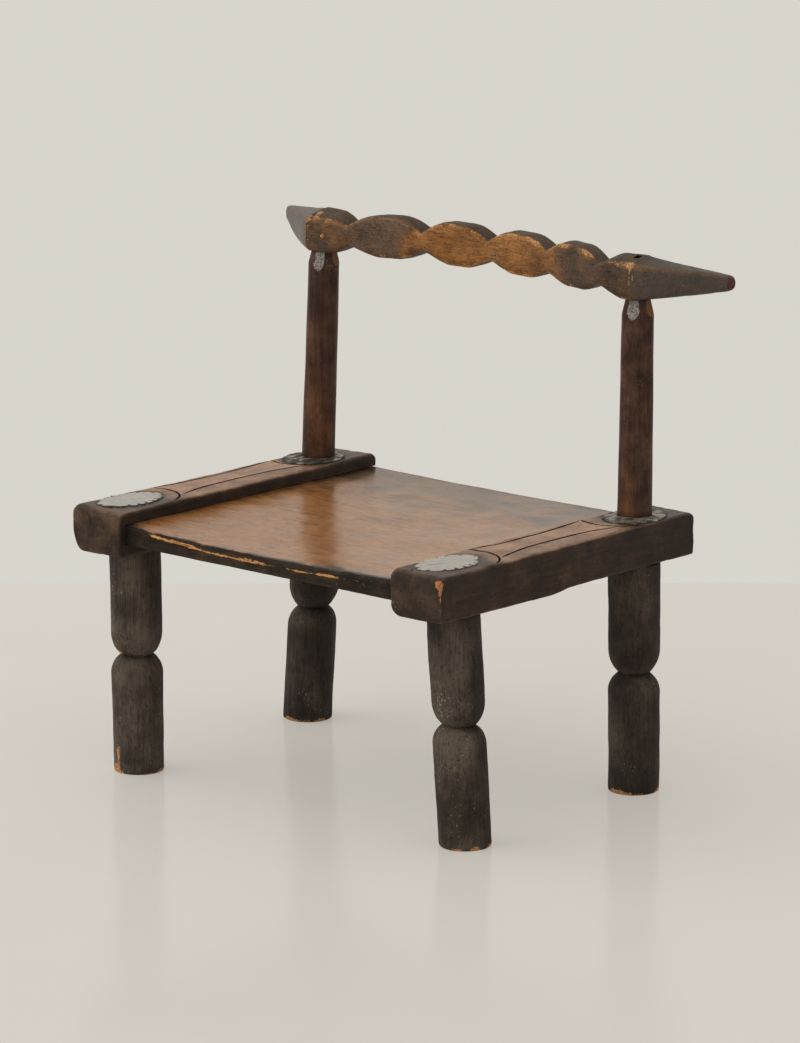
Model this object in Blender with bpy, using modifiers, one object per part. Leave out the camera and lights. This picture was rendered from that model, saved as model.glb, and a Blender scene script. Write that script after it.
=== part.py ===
"""A low carved wooden chair with a bowed, scalloped crest rail.

Two side rails hold a dished seat board in grooves. Beaded legs are tenoned up into
the rails, two posts are tenoned down into the same rear mortises, and the crest rail
is set over the tops of the posts. Thin metal discs cover the joints on the rails.

Units are metres and +Z is up. The front of the chair faces -Y, left is -X, and the
origin lies on the floor under the middle of the chair.
"""

import math

import bmesh
import bpy
from mathutils import Matrix, Vector

# Gap between pieces that touch
CLEARANCE = 0.0003

# Side rails
RAIL_LENGTH = 0.400
RAIL_WIDTH = 0.067
RAIL_HEIGHT = 0.047
RAIL_SPACING = 0.440
RAIL_TOP_RADIUS = 0.004
RAIL_FRONT_RADIUS = 0.009
RAIL_REAR_RADIUS = 0.006
RAIL_END_RADIUS = 0.003
RAIL_WORN_RADIUS = 0.012
RAIL_CRISP_RADIUS = 0.0025
UNDERCUT_DEPTH = 0.003
UNDERCUT_LENGTH = 0.212

# Seat board
SEAT_THICKNESS = 0.022
SEAT_DROP = 0.013
SEAT_FRONT_SETBACK = 0.010
SEAT_REAR_SETBACK = 0.003
SEAT_FRONT_DISH = 0.0055
SEAT_REAR_DISH = 0.002
SEAT_FRONT_RADIUS = 0.008
SEAT_EDGE_RADIUS = 0.002
GROOVE_DEPTH = 0.012

# Legs and the mortises that they share with the posts
LEG_HEIGHT = 0.243
LEG_RADIUS = 0.027
LEG_WAIST_RADIUS = 0.0163
LEG_WAIST_HEIGHT = 0.122
LEG_UPPER_ROUND = 0.026
LEG_LOWER_ROUND = 0.020
LEG_FOOT_RADIUS = 0.0258
LEG_FOOT_BEVEL = 0.0015
JOINT_INSET = 0.057
TENON_RADIUS = 0.015
REAR_LEG_TENON = 0.022
TENON_CHAMFER = 0.001

# How far each foot stands outboard of its mortise, and behind it
FRONT_LEFT_FOOT_OUT = -0.002
FRONT_LEFT_FOOT_BACK = 0.001
FRONT_RIGHT_FOOT_OUT = 0.0075
FRONT_RIGHT_FOOT_BACK = 0.010
REAR_LEFT_FOOT_OUT = 0.0096
REAR_LEFT_FOOT_BACK = -0.0075
REAR_RIGHT_FOOT_OUT = 0.0042
REAR_RIGHT_FOOT_BACK = -0.003

# Back posts
POST_HEIGHT = 0.227
POST_BASE_RADIUS = 0.018
POST_NECK_RADIUS = 0.0166
POST_TOP_RADIUS = 0.0137
POST_LEAN_IN = 0.004
POST_LEAN_BACK = 0.0065
WHITTLE_LENGTH = 0.020
CREST_TENON_RADIUS = 0.010
CREST_TENON_LENGTH = 0.030

# Crest rail: distances ahead, behind and outboard are taken from the post axis
CREST_HEIGHT = 0.047
CREST_DEPTH = 0.0307
CREST_BOW = 0.0287
CREST_FRONT = 0.0172
LOBE_COUNT = 4
LOBE_HEIGHT = 0.045
NOTCH_DEPTH = 0.0138
BLOCK_INNER = 0.0441
BLOCK_FRONT = 0.022
LEFT_BLOCK_BACK = 0.023
RIGHT_BLOCK_BACK = 0.0145
BLOCK_ARRIS = 0.0071
HORN_REACH = 0.0905
HORN_SWEEP = 0.043
HORN_TIP_HEIGHT = 0.0150
HORN_TIP_DEPTH = 0.0125
HORN_TIP_ROUND = 0.005
LEFT_HORN_LIFT = 0.003
RIGHT_HORN_LIFT = -0.003

# Peg through the left crest joint and square pin down the right one
PEG_RADIUS = 0.0025
PEG_PROUD = 0.0004
PEG_PAST_AXIS = 0.012
PEG_RISE = 0.016
PEG_ANGLE = math.radians(33)
PIN_WIDTH = 0.007
PIN_DEPTH = 0.028
PIN_RECESS = 0.0006
PIN_BEVEL = 0.0006

# Metal discs over the joints
DISC_EDGE_INSET = 0.0005
DISC_THICKNESS = 0.001
DISC_CLIP = 0.0015
DISC_CHORD_ANGLE = math.radians(41)
DISC_NOTCH_COUNT = 12
DISC_NOTCH_WIDTH = 0.004
DISC_NOTCH_DEPTH = 0.004

# Smoothness of the solids
LEG_SIDES = 28
POST_SIDES = 24
WHITTLE_SIDES = 8
HOLE_SIDES = 32
PEG_SIDES = 12
BEVEL_STEPS = 4
ROUND_STEPS = 6
SEAT_CUTS_ACROSS = 11
SEAT_CUTS_DEEP = 3
LOBE_STATIONS = 8
BLOCK_STATIONS = 5
HORN_STATIONS = 7
TIP_STATIONS = 3
SECTION_POINTS = 20
TOOTH_POINTS = 4
SHARP_ANGLE = math.radians(32)

# How square the crest sections are, how full its lobes are, and how full its horns
BAR_SQUARENESS = 3.6
TIP_SQUARENESS = 2.6
LOBE_FULLNESS = 3.3
HORN_FULLNESS = 1.2

# How far a cutter runs past the face that it leaves
OVERRUN = 0.01

# Heights and centre lines that follow from the sizes above
RAIL_TOP = LEG_HEIGHT + RAIL_HEIGHT
SEAT_TOP = RAIL_TOP - SEAT_DROP
SEAT_BOTTOM = SEAT_TOP - SEAT_THICKNESS
RAIL_X = RAIL_SPACING / 2
RAIL_INNER_X = RAIL_X - RAIL_WIDTH / 2
JOINT_Y = RAIL_LENGTH / 2 - JOINT_INSET
CREST_BOTTOM = RAIL_TOP + POST_HEIGHT
CREST_TOP = CREST_BOTTOM + CREST_HEIGHT
POST_TOP_X = RAIL_X - POST_LEAN_IN
POST_TOP_Y = JOINT_Y + POST_LEAN_BACK
SEAT_FRONT_Y = SEAT_FRONT_SETBACK - RAIL_LENGTH / 2
SEAT_REAR_Y = RAIL_LENGTH / 2 - SEAT_REAR_SETBACK
SEAT_HALF_WIDTH = RAIL_INNER_X + GROOVE_DEPTH - CLEARANCE
DISC_RADIUS = RAIL_WIDTH / 2 - DISC_EDGE_INSET

# Each foot's place to the right of its mortise, and behind it
FOOT_OFFSETS = {
    "leg_front_left": (-FRONT_LEFT_FOOT_OUT, FRONT_LEFT_FOOT_BACK),
    "leg_front_right": (FRONT_RIGHT_FOOT_OUT, FRONT_RIGHT_FOOT_BACK),
    "leg_rear_left": (-REAR_LEFT_FOOT_OUT, REAR_LEFT_FOOT_BACK),
    "leg_rear_right": (REAR_RIGHT_FOOT_OUT, REAR_RIGHT_FOOT_BACK),
}

for old in list(bpy.data.objects):
    bpy.data.objects.remove(old, do_unlink=True)

parts = bpy.data.collections.new("carved_chair")
cutters = bpy.data.collections.new("cutters")
bpy.context.scene.collection.children.link(parts)
bpy.context.scene.collection.children.link(cutters)

chair = bpy.data.objects.new("chair", None)
parts.objects.link(chair)


def material(name, color, roughness, metallic=0.0):
    """Make a Principled material with one colour."""
    made = bpy.data.materials.new(name)
    made.use_nodes = True
    shader = made.node_tree.nodes["Principled BSDF"]
    shader.inputs["Base Color"].default_value = (*color, 1.0)
    shader.inputs["Roughness"].default_value = roughness
    shader.inputs["Metallic"].default_value = metallic
    return made


def add_part(name, mesh, finish, location=(0.0, 0.0, 0.0)):
    """Add a mesh to the chair as one named piece."""
    mesh.materials.clear()
    mesh.materials.append(finish)
    mesh.shade_smooth()
    mesh.set_sharp_from_angle(angle=SHARP_ANGLE)
    piece = bpy.data.objects.new(name, mesh)
    piece.location = location
    piece.parent = chair
    parts.objects.link(piece)
    return piece


def add_cutter(name, mesh, location=(0.0, 0.0, 0.0)):
    """Add a mesh that only cuts other pieces."""
    tool = bpy.data.objects.new(name, mesh)
    tool.location = location
    tool.hide_render = True
    tool.display_type = "WIRE"
    cutters.objects.link(tool)
    return tool


def cut(piece, tool, operation="DIFFERENCE"):
    """Cut a piece with a tool, or keep only what lies inside the tool."""
    boolean = piece.modifiers.new(tool.name, "BOOLEAN")
    boolean.operation = operation
    boolean.solver = "EXACT"
    boolean.object = tool


def mesh_from(bm, name):
    """Turn a bmesh into a mesh."""
    mesh = bpy.data.meshes.new(name)
    bm.to_mesh(mesh)
    bm.free()
    return mesh


def box(name, low, high):
    """Make a box mesh between two corners."""
    low = Vector(low)
    high = Vector(high)
    bm = bmesh.new()
    size = Matrix.Diagonal((*(high - low), 1.0))
    bmesh.ops.create_cube(bm, size=1.0, matrix=Matrix.Translation((low + high) / 2) @ size)
    return mesh_from(bm, name)


def cylinder(name, radius, bottom, top, sides):
    """Make an upright cylinder mesh between two heights."""
    bm = bmesh.new()
    place = Matrix.Translation((0.0, 0.0, (bottom + top) / 2))
    bmesh.ops.create_cone(
        bm, cap_ends=True, segments=sides, radius1=radius, radius2=radius, depth=top - bottom, matrix=place
    )
    return mesh_from(bm, name)


def evaluated_mesh(shape):
    """Read an object's finished mesh, then remove the object."""
    parts.objects.link(shape)
    finished = shape.evaluated_get(bpy.context.evaluated_depsgraph_get())
    mesh = bpy.data.meshes.new_from_object(finished)
    bpy.data.objects.remove(shape, do_unlink=True)
    return mesh


def turned(name, profile, sides):
    """Turn (radius, height) points, listed from top to bottom, about the upright axis."""
    line = bpy.data.meshes.new(name)
    edges = [(i, i + 1) for i in range(len(profile) - 1)]
    line.from_pydata([(radius, 0.0, height) for radius, height in profile], edges, [])
    shape = bpy.data.objects.new(name, line)
    screw = shape.modifiers.new("turn", "SCREW")
    screw.axis = "Z"
    screw.angle = 2 * math.pi
    screw.steps = sides
    screw.render_steps = sides
    screw.use_merge_vertices = True
    screw.merge_threshold = 0.00005
    return evaluated_mesh(shape)


def lean(mesh, start, end, offset):
    """Shift a mesh sideways, from nothing at one height to the whole offset at another."""
    for vertex in mesh.vertices:
        share = min(max((vertex.co.z - start) / (end - start), 0.0), 1.0)
        vertex.co.x += offset[0] * share
        vertex.co.y += offset[1] * share


def quarter_round(start, end, steps):
    """Points of a quarter ellipse that leaves start along the height and ends at end."""
    points = []
    for step in range(steps + 1):
        angle = math.pi / 2 * step / steps
        radius = end[0] + (start[0] - end[0]) * math.cos(angle)
        height = start[1] + (end[1] - start[1]) * math.sin(angle)
        points.append((radius, height))
    return points


def side_rail(name, side, finish):
    """A rail with its own worn edges, a seat groove and two through mortises."""
    half = Vector((RAIL_WIDTH / 2, RAIL_LENGTH / 2, RAIL_HEIGHT / 2))
    centre = Vector((side * RAIL_X, 0.0, LEG_HEIGHT + RAIL_HEIGHT / 2))
    mesh = box(name, -half, half)
    radii = [rail_edge_radius(mesh, edge) for edge in mesh.edges]
    widest = max(radii)
    weights = mesh.attributes.new("bevel_weight_edge", "FLOAT", "EDGE")
    for weight, radius in zip(weights.data, radii):
        weight.value = radius / widest
    rail = add_part(name, mesh, finish, centre)
    bevel = rail.modifiers.new("worn edges", "BEVEL")
    bevel.limit_method = "WEIGHT"
    bevel.width = widest
    bevel.segments = BEVEL_STEPS
    for end in (-1, 1):
        hole_radius = TENON_RADIUS + CLEARANCE
        hole = cylinder("mortise", hole_radius, LEG_HEIGHT - OVERRUN, RAIL_TOP + OVERRUN, HOLE_SIDES)
        cut(rail, add_cutter(f"mortise_{name}", hole, (side * RAIL_X, end * JOINT_Y, 0.0)))
    near = side * (RAIL_INNER_X - OVERRUN)
    far = side * (RAIL_INNER_X + GROOVE_DEPTH)
    groove = box(
        "groove",
        (min(near, far), SEAT_FRONT_Y - CLEARANCE, SEAT_BOTTOM - CLEARANCE),
        (max(near, far), RAIL_LENGTH / 2 + OVERRUN, SEAT_TOP + CLEARANCE),
    )
    cut(rail, add_cutter(f"groove_{name}", groove))
    return rail


def rail_edge_radius(mesh, edge):
    """Radius of one edge of a rail, which is well worn where hands lift it and at its front end."""
    middle = (mesh.vertices[edge.vertices[0]].co + mesh.vertices[edge.vertices[1]].co) / 2
    along = abs(middle.y) < RAIL_LENGTH / 4
    top = middle.z > RAIL_HEIGHT / 4
    if along and top:
        return RAIL_TOP_RADIUS
    if along:
        return RAIL_WORN_RADIUS if middle.x < 0 else RAIL_CRISP_RADIUS
    if top:
        return RAIL_FRONT_RADIUS if middle.y < 0 else RAIL_REAR_RADIUS
    return RAIL_END_RADIUS


def undercut(rail, side):
    """Thin the rear part of a rail from below."""
    tool = box(
        "undercut",
        (side * RAIL_X - RAIL_WIDTH, RAIL_LENGTH / 2 - UNDERCUT_LENGTH, LEG_HEIGHT - OVERRUN),
        (side * RAIL_X + RAIL_WIDTH, RAIL_LENGTH / 2 + OVERRUN, LEG_HEIGHT + UNDERCUT_DEPTH),
    )
    cut(rail, add_cutter("undercut", tool))


def seat_board(finish):
    """A slab dished across its top, deeper at the front, with a rounded front edge."""
    front_corner = (-SEAT_HALF_WIDTH, SEAT_FRONT_Y, SEAT_BOTTOM)
    rear_corner = (SEAT_HALF_WIDTH, SEAT_REAR_Y, SEAT_TOP)
    mesh = box("seat_board", front_corner, rear_corner)
    bm = bmesh.new()
    bm.from_mesh(mesh)
    for axis, cuts in ((0, SEAT_CUTS_ACROSS), (1, SEAT_CUTS_DEEP)):
        lines = [e for e in bm.edges if abs((e.verts[0].co - e.verts[1].co)[axis]) > CLEARANCE]
        bmesh.ops.subdivide_edges(bm, edges=lines, cuts=cuts, use_grid_fill=True)
    middle_height = (SEAT_TOP + SEAT_BOTTOM) / 2
    for vertex in bm.verts:
        if vertex.co.z > middle_height:
            rearward = (vertex.co.y - SEAT_FRONT_Y) / (SEAT_REAR_Y - SEAT_FRONT_Y)
            dish = SEAT_FRONT_DISH + (SEAT_REAR_DISH - SEAT_FRONT_DISH) * rearward
            across = min(abs(vertex.co.x) / RAIL_INNER_X, 1.0)
            vertex.co.z -= dish * (1.0 - across ** 2)
    layer = bm.edges.layers.float.new("bevel_weight_edge")
    for edge in bm.edges:
        middle = (edge.verts[0].co + edge.verts[1].co) / 2
        turns_corner = len({round(face.normal.y) for face in edge.link_faces}) == 2
        if turns_corner:
            front_top = middle.y < 0 and middle.z > middle_height
            edge[layer] = 1.0 if front_top else SEAT_EDGE_RADIUS / SEAT_FRONT_RADIUS
    bm.to_mesh(mesh)
    bm.free()
    board = add_part("seat_board", mesh, finish)
    bevel = board.modifiers.new("rounded edges", "BEVEL")
    bevel.limit_method = "WEIGHT"
    bevel.width = SEAT_FRONT_RADIUS
    bevel.segments = BEVEL_STEPS
    return board


def leg(name, side, end, shoulder, tenon_top, finish):
    """A leg of two beads that meet in a sharp waist, with a tenon on top and a flat foot."""
    profile = [
        (0.0, tenon_top),
        (TENON_RADIUS - TENON_CHAMFER, tenon_top),
        (TENON_RADIUS, tenon_top - TENON_CHAMFER),
        (TENON_RADIUS, shoulder),
        (LEG_RADIUS, shoulder),
    ]
    profile += quarter_round(
        (LEG_RADIUS, LEG_WAIST_HEIGHT + LEG_UPPER_ROUND), (LEG_WAIST_RADIUS, LEG_WAIST_HEIGHT), ROUND_STEPS
    )
    lower = quarter_round(
        (LEG_RADIUS, LEG_WAIST_HEIGHT - LEG_LOWER_ROUND), (LEG_WAIST_RADIUS, LEG_WAIST_HEIGHT), ROUND_STEPS
    )
    profile += lower[-2::-1]
    profile += [(LEG_FOOT_RADIUS, LEG_FOOT_BEVEL), (LEG_FOOT_RADIUS - LEG_FOOT_BEVEL, 0.0), (0.0, 0.0)]
    mesh = turned(name, profile, LEG_SIDES)
    lean(mesh, shoulder, 0.0, FOOT_OFFSETS[name])
    return add_part(name, mesh, finish, (side * RAIL_X, end * JOINT_Y, 0.0))


def post(name, side, tenon_bottom, finish):
    """A tapering post with a tenon at each end and its head whittled to flats."""
    tenon_top = CREST_BOTTOM + CREST_TENON_LENGTH
    shoulder = CREST_BOTTOM - CLEARANCE
    neck = shoulder - WHITTLE_LENGTH
    foot = RAIL_TOP + CLEARANCE
    profile = [
        (0.0, tenon_top),
        (CREST_TENON_RADIUS - TENON_CHAMFER, tenon_top),
        (CREST_TENON_RADIUS, tenon_top - TENON_CHAMFER),
        (CREST_TENON_RADIUS, shoulder),
        (POST_NECK_RADIUS, shoulder),
        (POST_NECK_RADIUS, neck),
        (POST_BASE_RADIUS, foot),
        (TENON_RADIUS, foot),
        (TENON_RADIUS, tenon_bottom + TENON_CHAMFER),
        (TENON_RADIUS - TENON_CHAMFER, tenon_bottom),
        (0.0, tenon_bottom),
    ]
    offset = (-side * POST_LEAN_IN, POST_LEAN_BACK)
    mesh = turned(name, profile, POST_SIDES)
    lean(mesh, foot, shoulder, offset)
    place = (side * RAIL_X, JOINT_Y, 0.0)
    made = add_part(name, mesh, finish, place)
    corner = 1.0 / math.cos(math.pi / WHITTLE_SIDES)
    top_radius = POST_TOP_RADIUS * corner
    wide_radius = (2 * POST_NECK_RADIUS - POST_TOP_RADIUS) * corner
    clear = (POST_BASE_RADIUS + OVERRUN) * corner
    whittle = [
        (0.0, tenon_top + OVERRUN),
        (top_radius, tenon_top + OVERRUN),
        (top_radius, shoulder),
        (wide_radius, neck - WHITTLE_LENGTH),
        (clear, neck - 2 * WHITTLE_LENGTH),
        (clear, tenon_bottom - OVERRUN),
        (0.0, tenon_bottom - OVERRUN),
    ]
    tool = turned("whittle", whittle, WHITTLE_SIDES)
    lean(tool, foot, shoulder, offset)
    cut(made, add_cutter(f"whittle_{name}", tool, place), "INTERSECT")
    return made


def bar_half_length():
    """Half the length of the scalloped bar, from the middle to its outer notch."""
    return POST_TOP_X - BLOCK_INNER


def notched(height, from_notch):
    """Height left at a share of the way from a notch to the middle of a lobe."""
    return height - 2 * NOTCH_DEPTH * (1.0 - from_notch) ** LOBE_FULLNESS


def between(start, end, share):
    """Value at a share of the way from start to end."""
    return start + (end - start) * share


def crest_section(place):
    """Front, back and height of the crest at a place along it, left of the middle if negative."""
    x = abs(place)
    bar = bar_half_length()
    arris = POST_TOP_X + BLOCK_ARRIS
    block_back = LEFT_BLOCK_BACK if place < 0 else RIGHT_BLOCK_BACK
    if x <= bar:
        lobe = (x / bar + 1.0) * LOBE_COUNT / 2
        from_notch = 1.0 - abs(2.0 * (lobe % 1.0) - 1.0)
        front = -CREST_FRONT + CREST_BOW * (1.0 - (x / bar) ** 2)
        return front, front + CREST_DEPTH, notched(LOBE_HEIGHT, from_notch)
    if x <= arris:
        share = (x - bar) / (arris - bar)
        front = between(-CREST_FRONT, -BLOCK_FRONT, share)
        back = between(CREST_DEPTH - CREST_FRONT, block_back, share)
        from_notch = min((x - bar) / BLOCK_INNER, 1.0)
        return front, back, notched(between(LOBE_HEIGHT, CREST_HEIGHT, from_notch), from_notch)
    share = (x - arris) / (POST_TOP_X + HORN_REACH - arris)
    front = between(-BLOCK_FRONT, HORN_SWEEP - HORN_TIP_DEPTH / 2, share)
    back = between(block_back, HORN_SWEEP + HORN_TIP_DEPTH / 2, share)
    return front, back, between(CREST_HEIGHT, HORN_TIP_HEIGHT, share ** HORN_FULLNESS)


def crest_stations():
    """Places along half the crest, from its middle to a tip: distance, squareness and end rounding."""
    bar = bar_half_length()
    arris = POST_TOP_X + BLOCK_ARRIS
    tip = POST_TOP_X + HORN_REACH
    round_start = tip - HORN_TIP_ROUND
    half_count = LOBE_COUNT * LOBE_STATIONS // 2
    stations = [(bar * i / half_count, BAR_SQUARENESS, 1.0) for i in range(half_count + 1)]
    for i in range(1, BLOCK_STATIONS + 1):
        stations.append((between(bar, arris, i / BLOCK_STATIONS), BAR_SQUARENESS, 1.0))
    for i in range(1, HORN_STATIONS + 1):
        share = i / HORN_STATIONS
        squareness = between(BAR_SQUARENESS, TIP_SQUARENESS, share)
        stations.append((between(arris, round_start, share), squareness, 1.0))
    for i in range(1, TIP_STATIONS + 1):
        angle = math.pi / 2 * i / (TIP_STATIONS + 0.5)
        stations.append((between(round_start, tip, math.sin(angle)), TIP_SQUARENESS, math.cos(angle)))
    return stations


def section_ring(bm, x, squareness, shrink):
    """One rounded upright section of the crest."""
    front, back, height = crest_section(x)
    centre_y = POST_TOP_Y + (front + back) / 2
    arris = POST_TOP_X + BLOCK_ARRIS
    outward = max(abs(x) - arris, 0.0) / (POST_TOP_X + HORN_REACH - arris)
    lift = LEFT_HORN_LIFT if x < 0 else RIGHT_HORN_LIFT
    centre_z = (CREST_BOTTOM + CREST_TOP) / 2 + lift * outward
    ring = []
    for i in range(SECTION_POINTS):
        angle = 2 * math.pi * (i + 0.5) / SECTION_POINTS
        across = math.copysign(abs(math.cos(angle)) ** (2 / squareness), math.cos(angle))
        upward = math.copysign(abs(math.sin(angle)) ** (2 / squareness), math.sin(angle))
        y = centre_y + across * shrink * (back - front) / 2
        z = centre_z + upward * shrink * height / 2
        ring.append(bm.verts.new((x, y, z)))
    return ring


def crest_rail(finish):
    """A bar carved into lobes, bowed to the rear, with a block over each post and swept horns."""
    half = crest_stations()
    whole = [(-x, squareness, shrink) for x, squareness, shrink in half[:0:-1]] + half
    bm = bmesh.new()
    rings = [section_ring(bm, *station) for station in whole]
    for ring, following in zip(rings, rings[1:]):
        for i in range(SECTION_POINTS):
            j = (i + 1) % SECTION_POINTS
            bm.faces.new((ring[i], ring[j], following[j], following[i]))
    bm.faces.new(rings[0][::-1])
    bm.faces.new(rings[-1])
    bmesh.ops.recalc_face_normals(bm, faces=bm.faces)
    crest = add_part("crest_rail", mesh_from(bm, "crest_rail"), finish)
    for side in (-1, 1):
        hole = cylinder(
            "crest_mortise",
            CREST_TENON_RADIUS + CLEARANCE,
            CREST_BOTTOM - OVERRUN,
            CREST_BOTTOM + CREST_TENON_LENGTH + CLEARANCE,
            HOLE_SIDES,
        )
        cut(crest, add_cutter("crest_mortise", hole, (side * POST_TOP_X, POST_TOP_Y, 0.0)))
    return crest


def peg_reach():
    """Distance along the peg from the post axis to the slanting face of the block."""
    bar = bar_half_length()
    slope = (BLOCK_FRONT - CREST_FRONT) / (POST_TOP_X + BLOCK_ARRIS - bar)
    front_at_axis = CREST_FRONT + slope * (POST_TOP_X - bar)
    return front_at_axis / (math.cos(PEG_ANGLE) + slope * math.sin(PEG_ANGLE))


def peg_mesh(name, radius, outer, inner):
    """A round peg that crosses the left post axis level, from the block's front face."""
    mesh = cylinder(name, radius, -outer, inner, PEG_SIDES)
    level = Matrix.Rotation(-math.pi / 2, 4, "X")
    turn = Matrix.Rotation(PEG_ANGLE, 4, "Z")
    place = Matrix.Translation((-POST_TOP_X, POST_TOP_Y, CREST_BOTTOM + PEG_RISE))
    mesh.transform(place @ turn @ level)
    return mesh


def crest_peg(crest, left_post, finish):
    """A round wooden peg through the left crest joint."""
    outer = peg_reach() + PEG_PROUD
    bore = peg_mesh("peg_hole", PEG_RADIUS + CLEARANCE, outer + OVERRUN, PEG_PAST_AXIS + CLEARANCE)
    tool = add_cutter("peg_hole", bore)
    cut(crest, tool)
    cut(left_post, tool)
    return add_part("crest_peg_left", peg_mesh("crest_peg_left", PEG_RADIUS, outer, PEG_PAST_AXIS), finish)


def crest_pin(crest, right_post, finish):
    """A square wooden pin driven down into the head of the right post."""
    half = PIN_WIDTH / 2
    top = CREST_TOP - PIN_RECESS
    place = (POST_TOP_X, POST_TOP_Y, 0.0)
    mesh = box("crest_pin_right", (-half, -half, top - PIN_DEPTH), (half, half, top))
    pin = add_part("crest_pin_right", mesh, finish, place)
    bevel = pin.modifiers.new("eased edges", "BEVEL")
    bevel.width = PIN_BEVEL
    bevel.segments = 1
    wide = half + CLEARANCE
    slot = box("pin_hole", (-wide, -wide, top - PIN_DEPTH - CLEARANCE), (wide, wide, CREST_TOP + OVERRUN))
    tool = add_cutter("pin_hole", slot, place)
    cut(crest, tool)
    cut(right_post, tool)
    return pin


def disc_outline(mirror):
    """Points round a disc that is clipped along one chord and notched all round its edge."""
    points = []
    pitch = 2 * math.pi / DISC_NOTCH_COUNT
    gap = DISC_NOTCH_WIDTH / DISC_RADIUS
    for notch in range(DISC_NOTCH_COUNT):
        start = notch * pitch + gap / 2
        angles = [between(start, start + pitch - gap, i / (TOOTH_POINTS - 1)) for i in range(TOOTH_POINTS)]
        tooth = [(edge_radius(angle), angle) for angle in angles]
        ends = [(tooth[0][0] - DISC_NOTCH_DEPTH, angles[0]), (tooth[-1][0] - DISC_NOTCH_DEPTH, angles[-1])]
        for radius, angle in [ends[0], *tooth, ends[1]]:
            points.append((mirror * radius * math.cos(angle), radius * math.sin(angle)))
    return points


def edge_radius(angle):
    """Distance from a disc's centre to its edge, shorter along the clipped chord."""
    facing = math.cos(angle - DISC_CHORD_ANGLE)
    return min(DISC_RADIUS, (DISC_RADIUS - DISC_CLIP) / facing) if facing > 0 else DISC_RADIUS


def disc(name, side, end, finish):
    """A thin metal disc on a rail's top, over one joint."""
    curve = bpy.data.curves.new(name, "CURVE")
    curve.dimensions = "2D"
    curve.fill_mode = "BOTH"
    curve.extrude = DISC_THICKNESS / 2
    spline = curve.splines.new("POLY")
    points = disc_outline(side)
    spline.points.add(len(points) - 1)
    for point, (x, y) in zip(spline.points, points):
        point.co = (x, y, 0.0, 1.0)
    spline.use_cyclic_u = True
    mesh = evaluated_mesh(bpy.data.objects.new(name, curve))
    bm = bmesh.new()
    bm.from_mesh(mesh)
    bmesh.ops.remove_doubles(bm, verts=bm.verts, dist=0.00001)
    bmesh.ops.recalc_face_normals(bm, faces=bm.faces)
    bm.to_mesh(mesh)
    bm.free()
    height = RAIL_TOP + CLEARANCE + DISC_THICKNESS / 2
    return add_part(name, mesh, finish, (side * RAIL_X, end * JOINT_Y, height))


def post_collar(name, side, finish):
    """A disc with a hole, fitted round the foot of a post."""
    collar = disc(name, side, 1, finish)
    hole_radius = POST_BASE_RADIUS + CLEARANCE
    hole = cylinder("collar_hole", hole_radius, RAIL_TOP - OVERRUN, RAIL_TOP + OVERRUN, HOLE_SIDES)
    cut(collar, add_cutter(f"hole_{name}", hole, (side * RAIL_X, JOINT_Y, 0.0)))
    return collar


rail_wood = material("rail_wood", (0.045, 0.028, 0.019), 0.55)
seat_wood = material("seat_wood", (0.26, 0.14, 0.065), 0.38)
leg_wood = material("leg_wood", (0.042, 0.032, 0.024), 0.62)
post_wood = material("post_wood", (0.06, 0.026, 0.016), 0.45)
crest_wood = material("crest_wood", (0.15, 0.078, 0.036), 0.45)
peg_wood = material("peg_wood", (0.48, 0.28, 0.15), 0.6)
pin_wood = material("pin_wood", (0.02, 0.014, 0.01), 0.7)
sheet_metal = material("sheet_metal", (0.45, 0.45, 0.44), 0.42, 1.0)

side_rail("left_rail", -1, rail_wood)
right_rail = side_rail("right_rail", 1, rail_wood)
undercut(right_rail, 1)
seat_board(seat_wood)

for label, direction in (("left", -1), ("right", 1)):
    rail_under = LEG_HEIGHT + (UNDERCUT_DEPTH if direction > 0 else 0.0)
    meeting = LEG_HEIGHT + REAR_LEG_TENON
    leg(f"leg_front_{label}", direction, -1, LEG_HEIGHT - CLEARANCE, RAIL_TOP, leg_wood)
    leg(f"leg_rear_{label}", direction, 1, rail_under - CLEARANCE, meeting, leg_wood)
    disc(f"cap_{label}", direction, -1, sheet_metal)
    post_collar(f"collar_{label}", direction, sheet_metal)

post_left = post("post_left", -1, LEG_HEIGHT + REAR_LEG_TENON + CLEARANCE, post_wood)
post_right = post("post_right", 1, LEG_HEIGHT + REAR_LEG_TENON + CLEARANCE, post_wood)
crest_bar = crest_rail(crest_wood)
crest_peg(crest_bar, post_left, peg_wood)
crest_pin(crest_bar, post_right, pin_wood)
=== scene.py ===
"""Looks of the low carved chair: worn hand-cut wood, incised rails, sheet metal and studio light.

Each piece is modelled in the frame's coordinates and stands for one CAD node.
Units are metres. The front of the chair faces -Y, left is -X, and the floor is at z = 0.
"""

import math

import bmesh
import bpy
import numpy as np
from mathutils import Matrix, Vector


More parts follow.
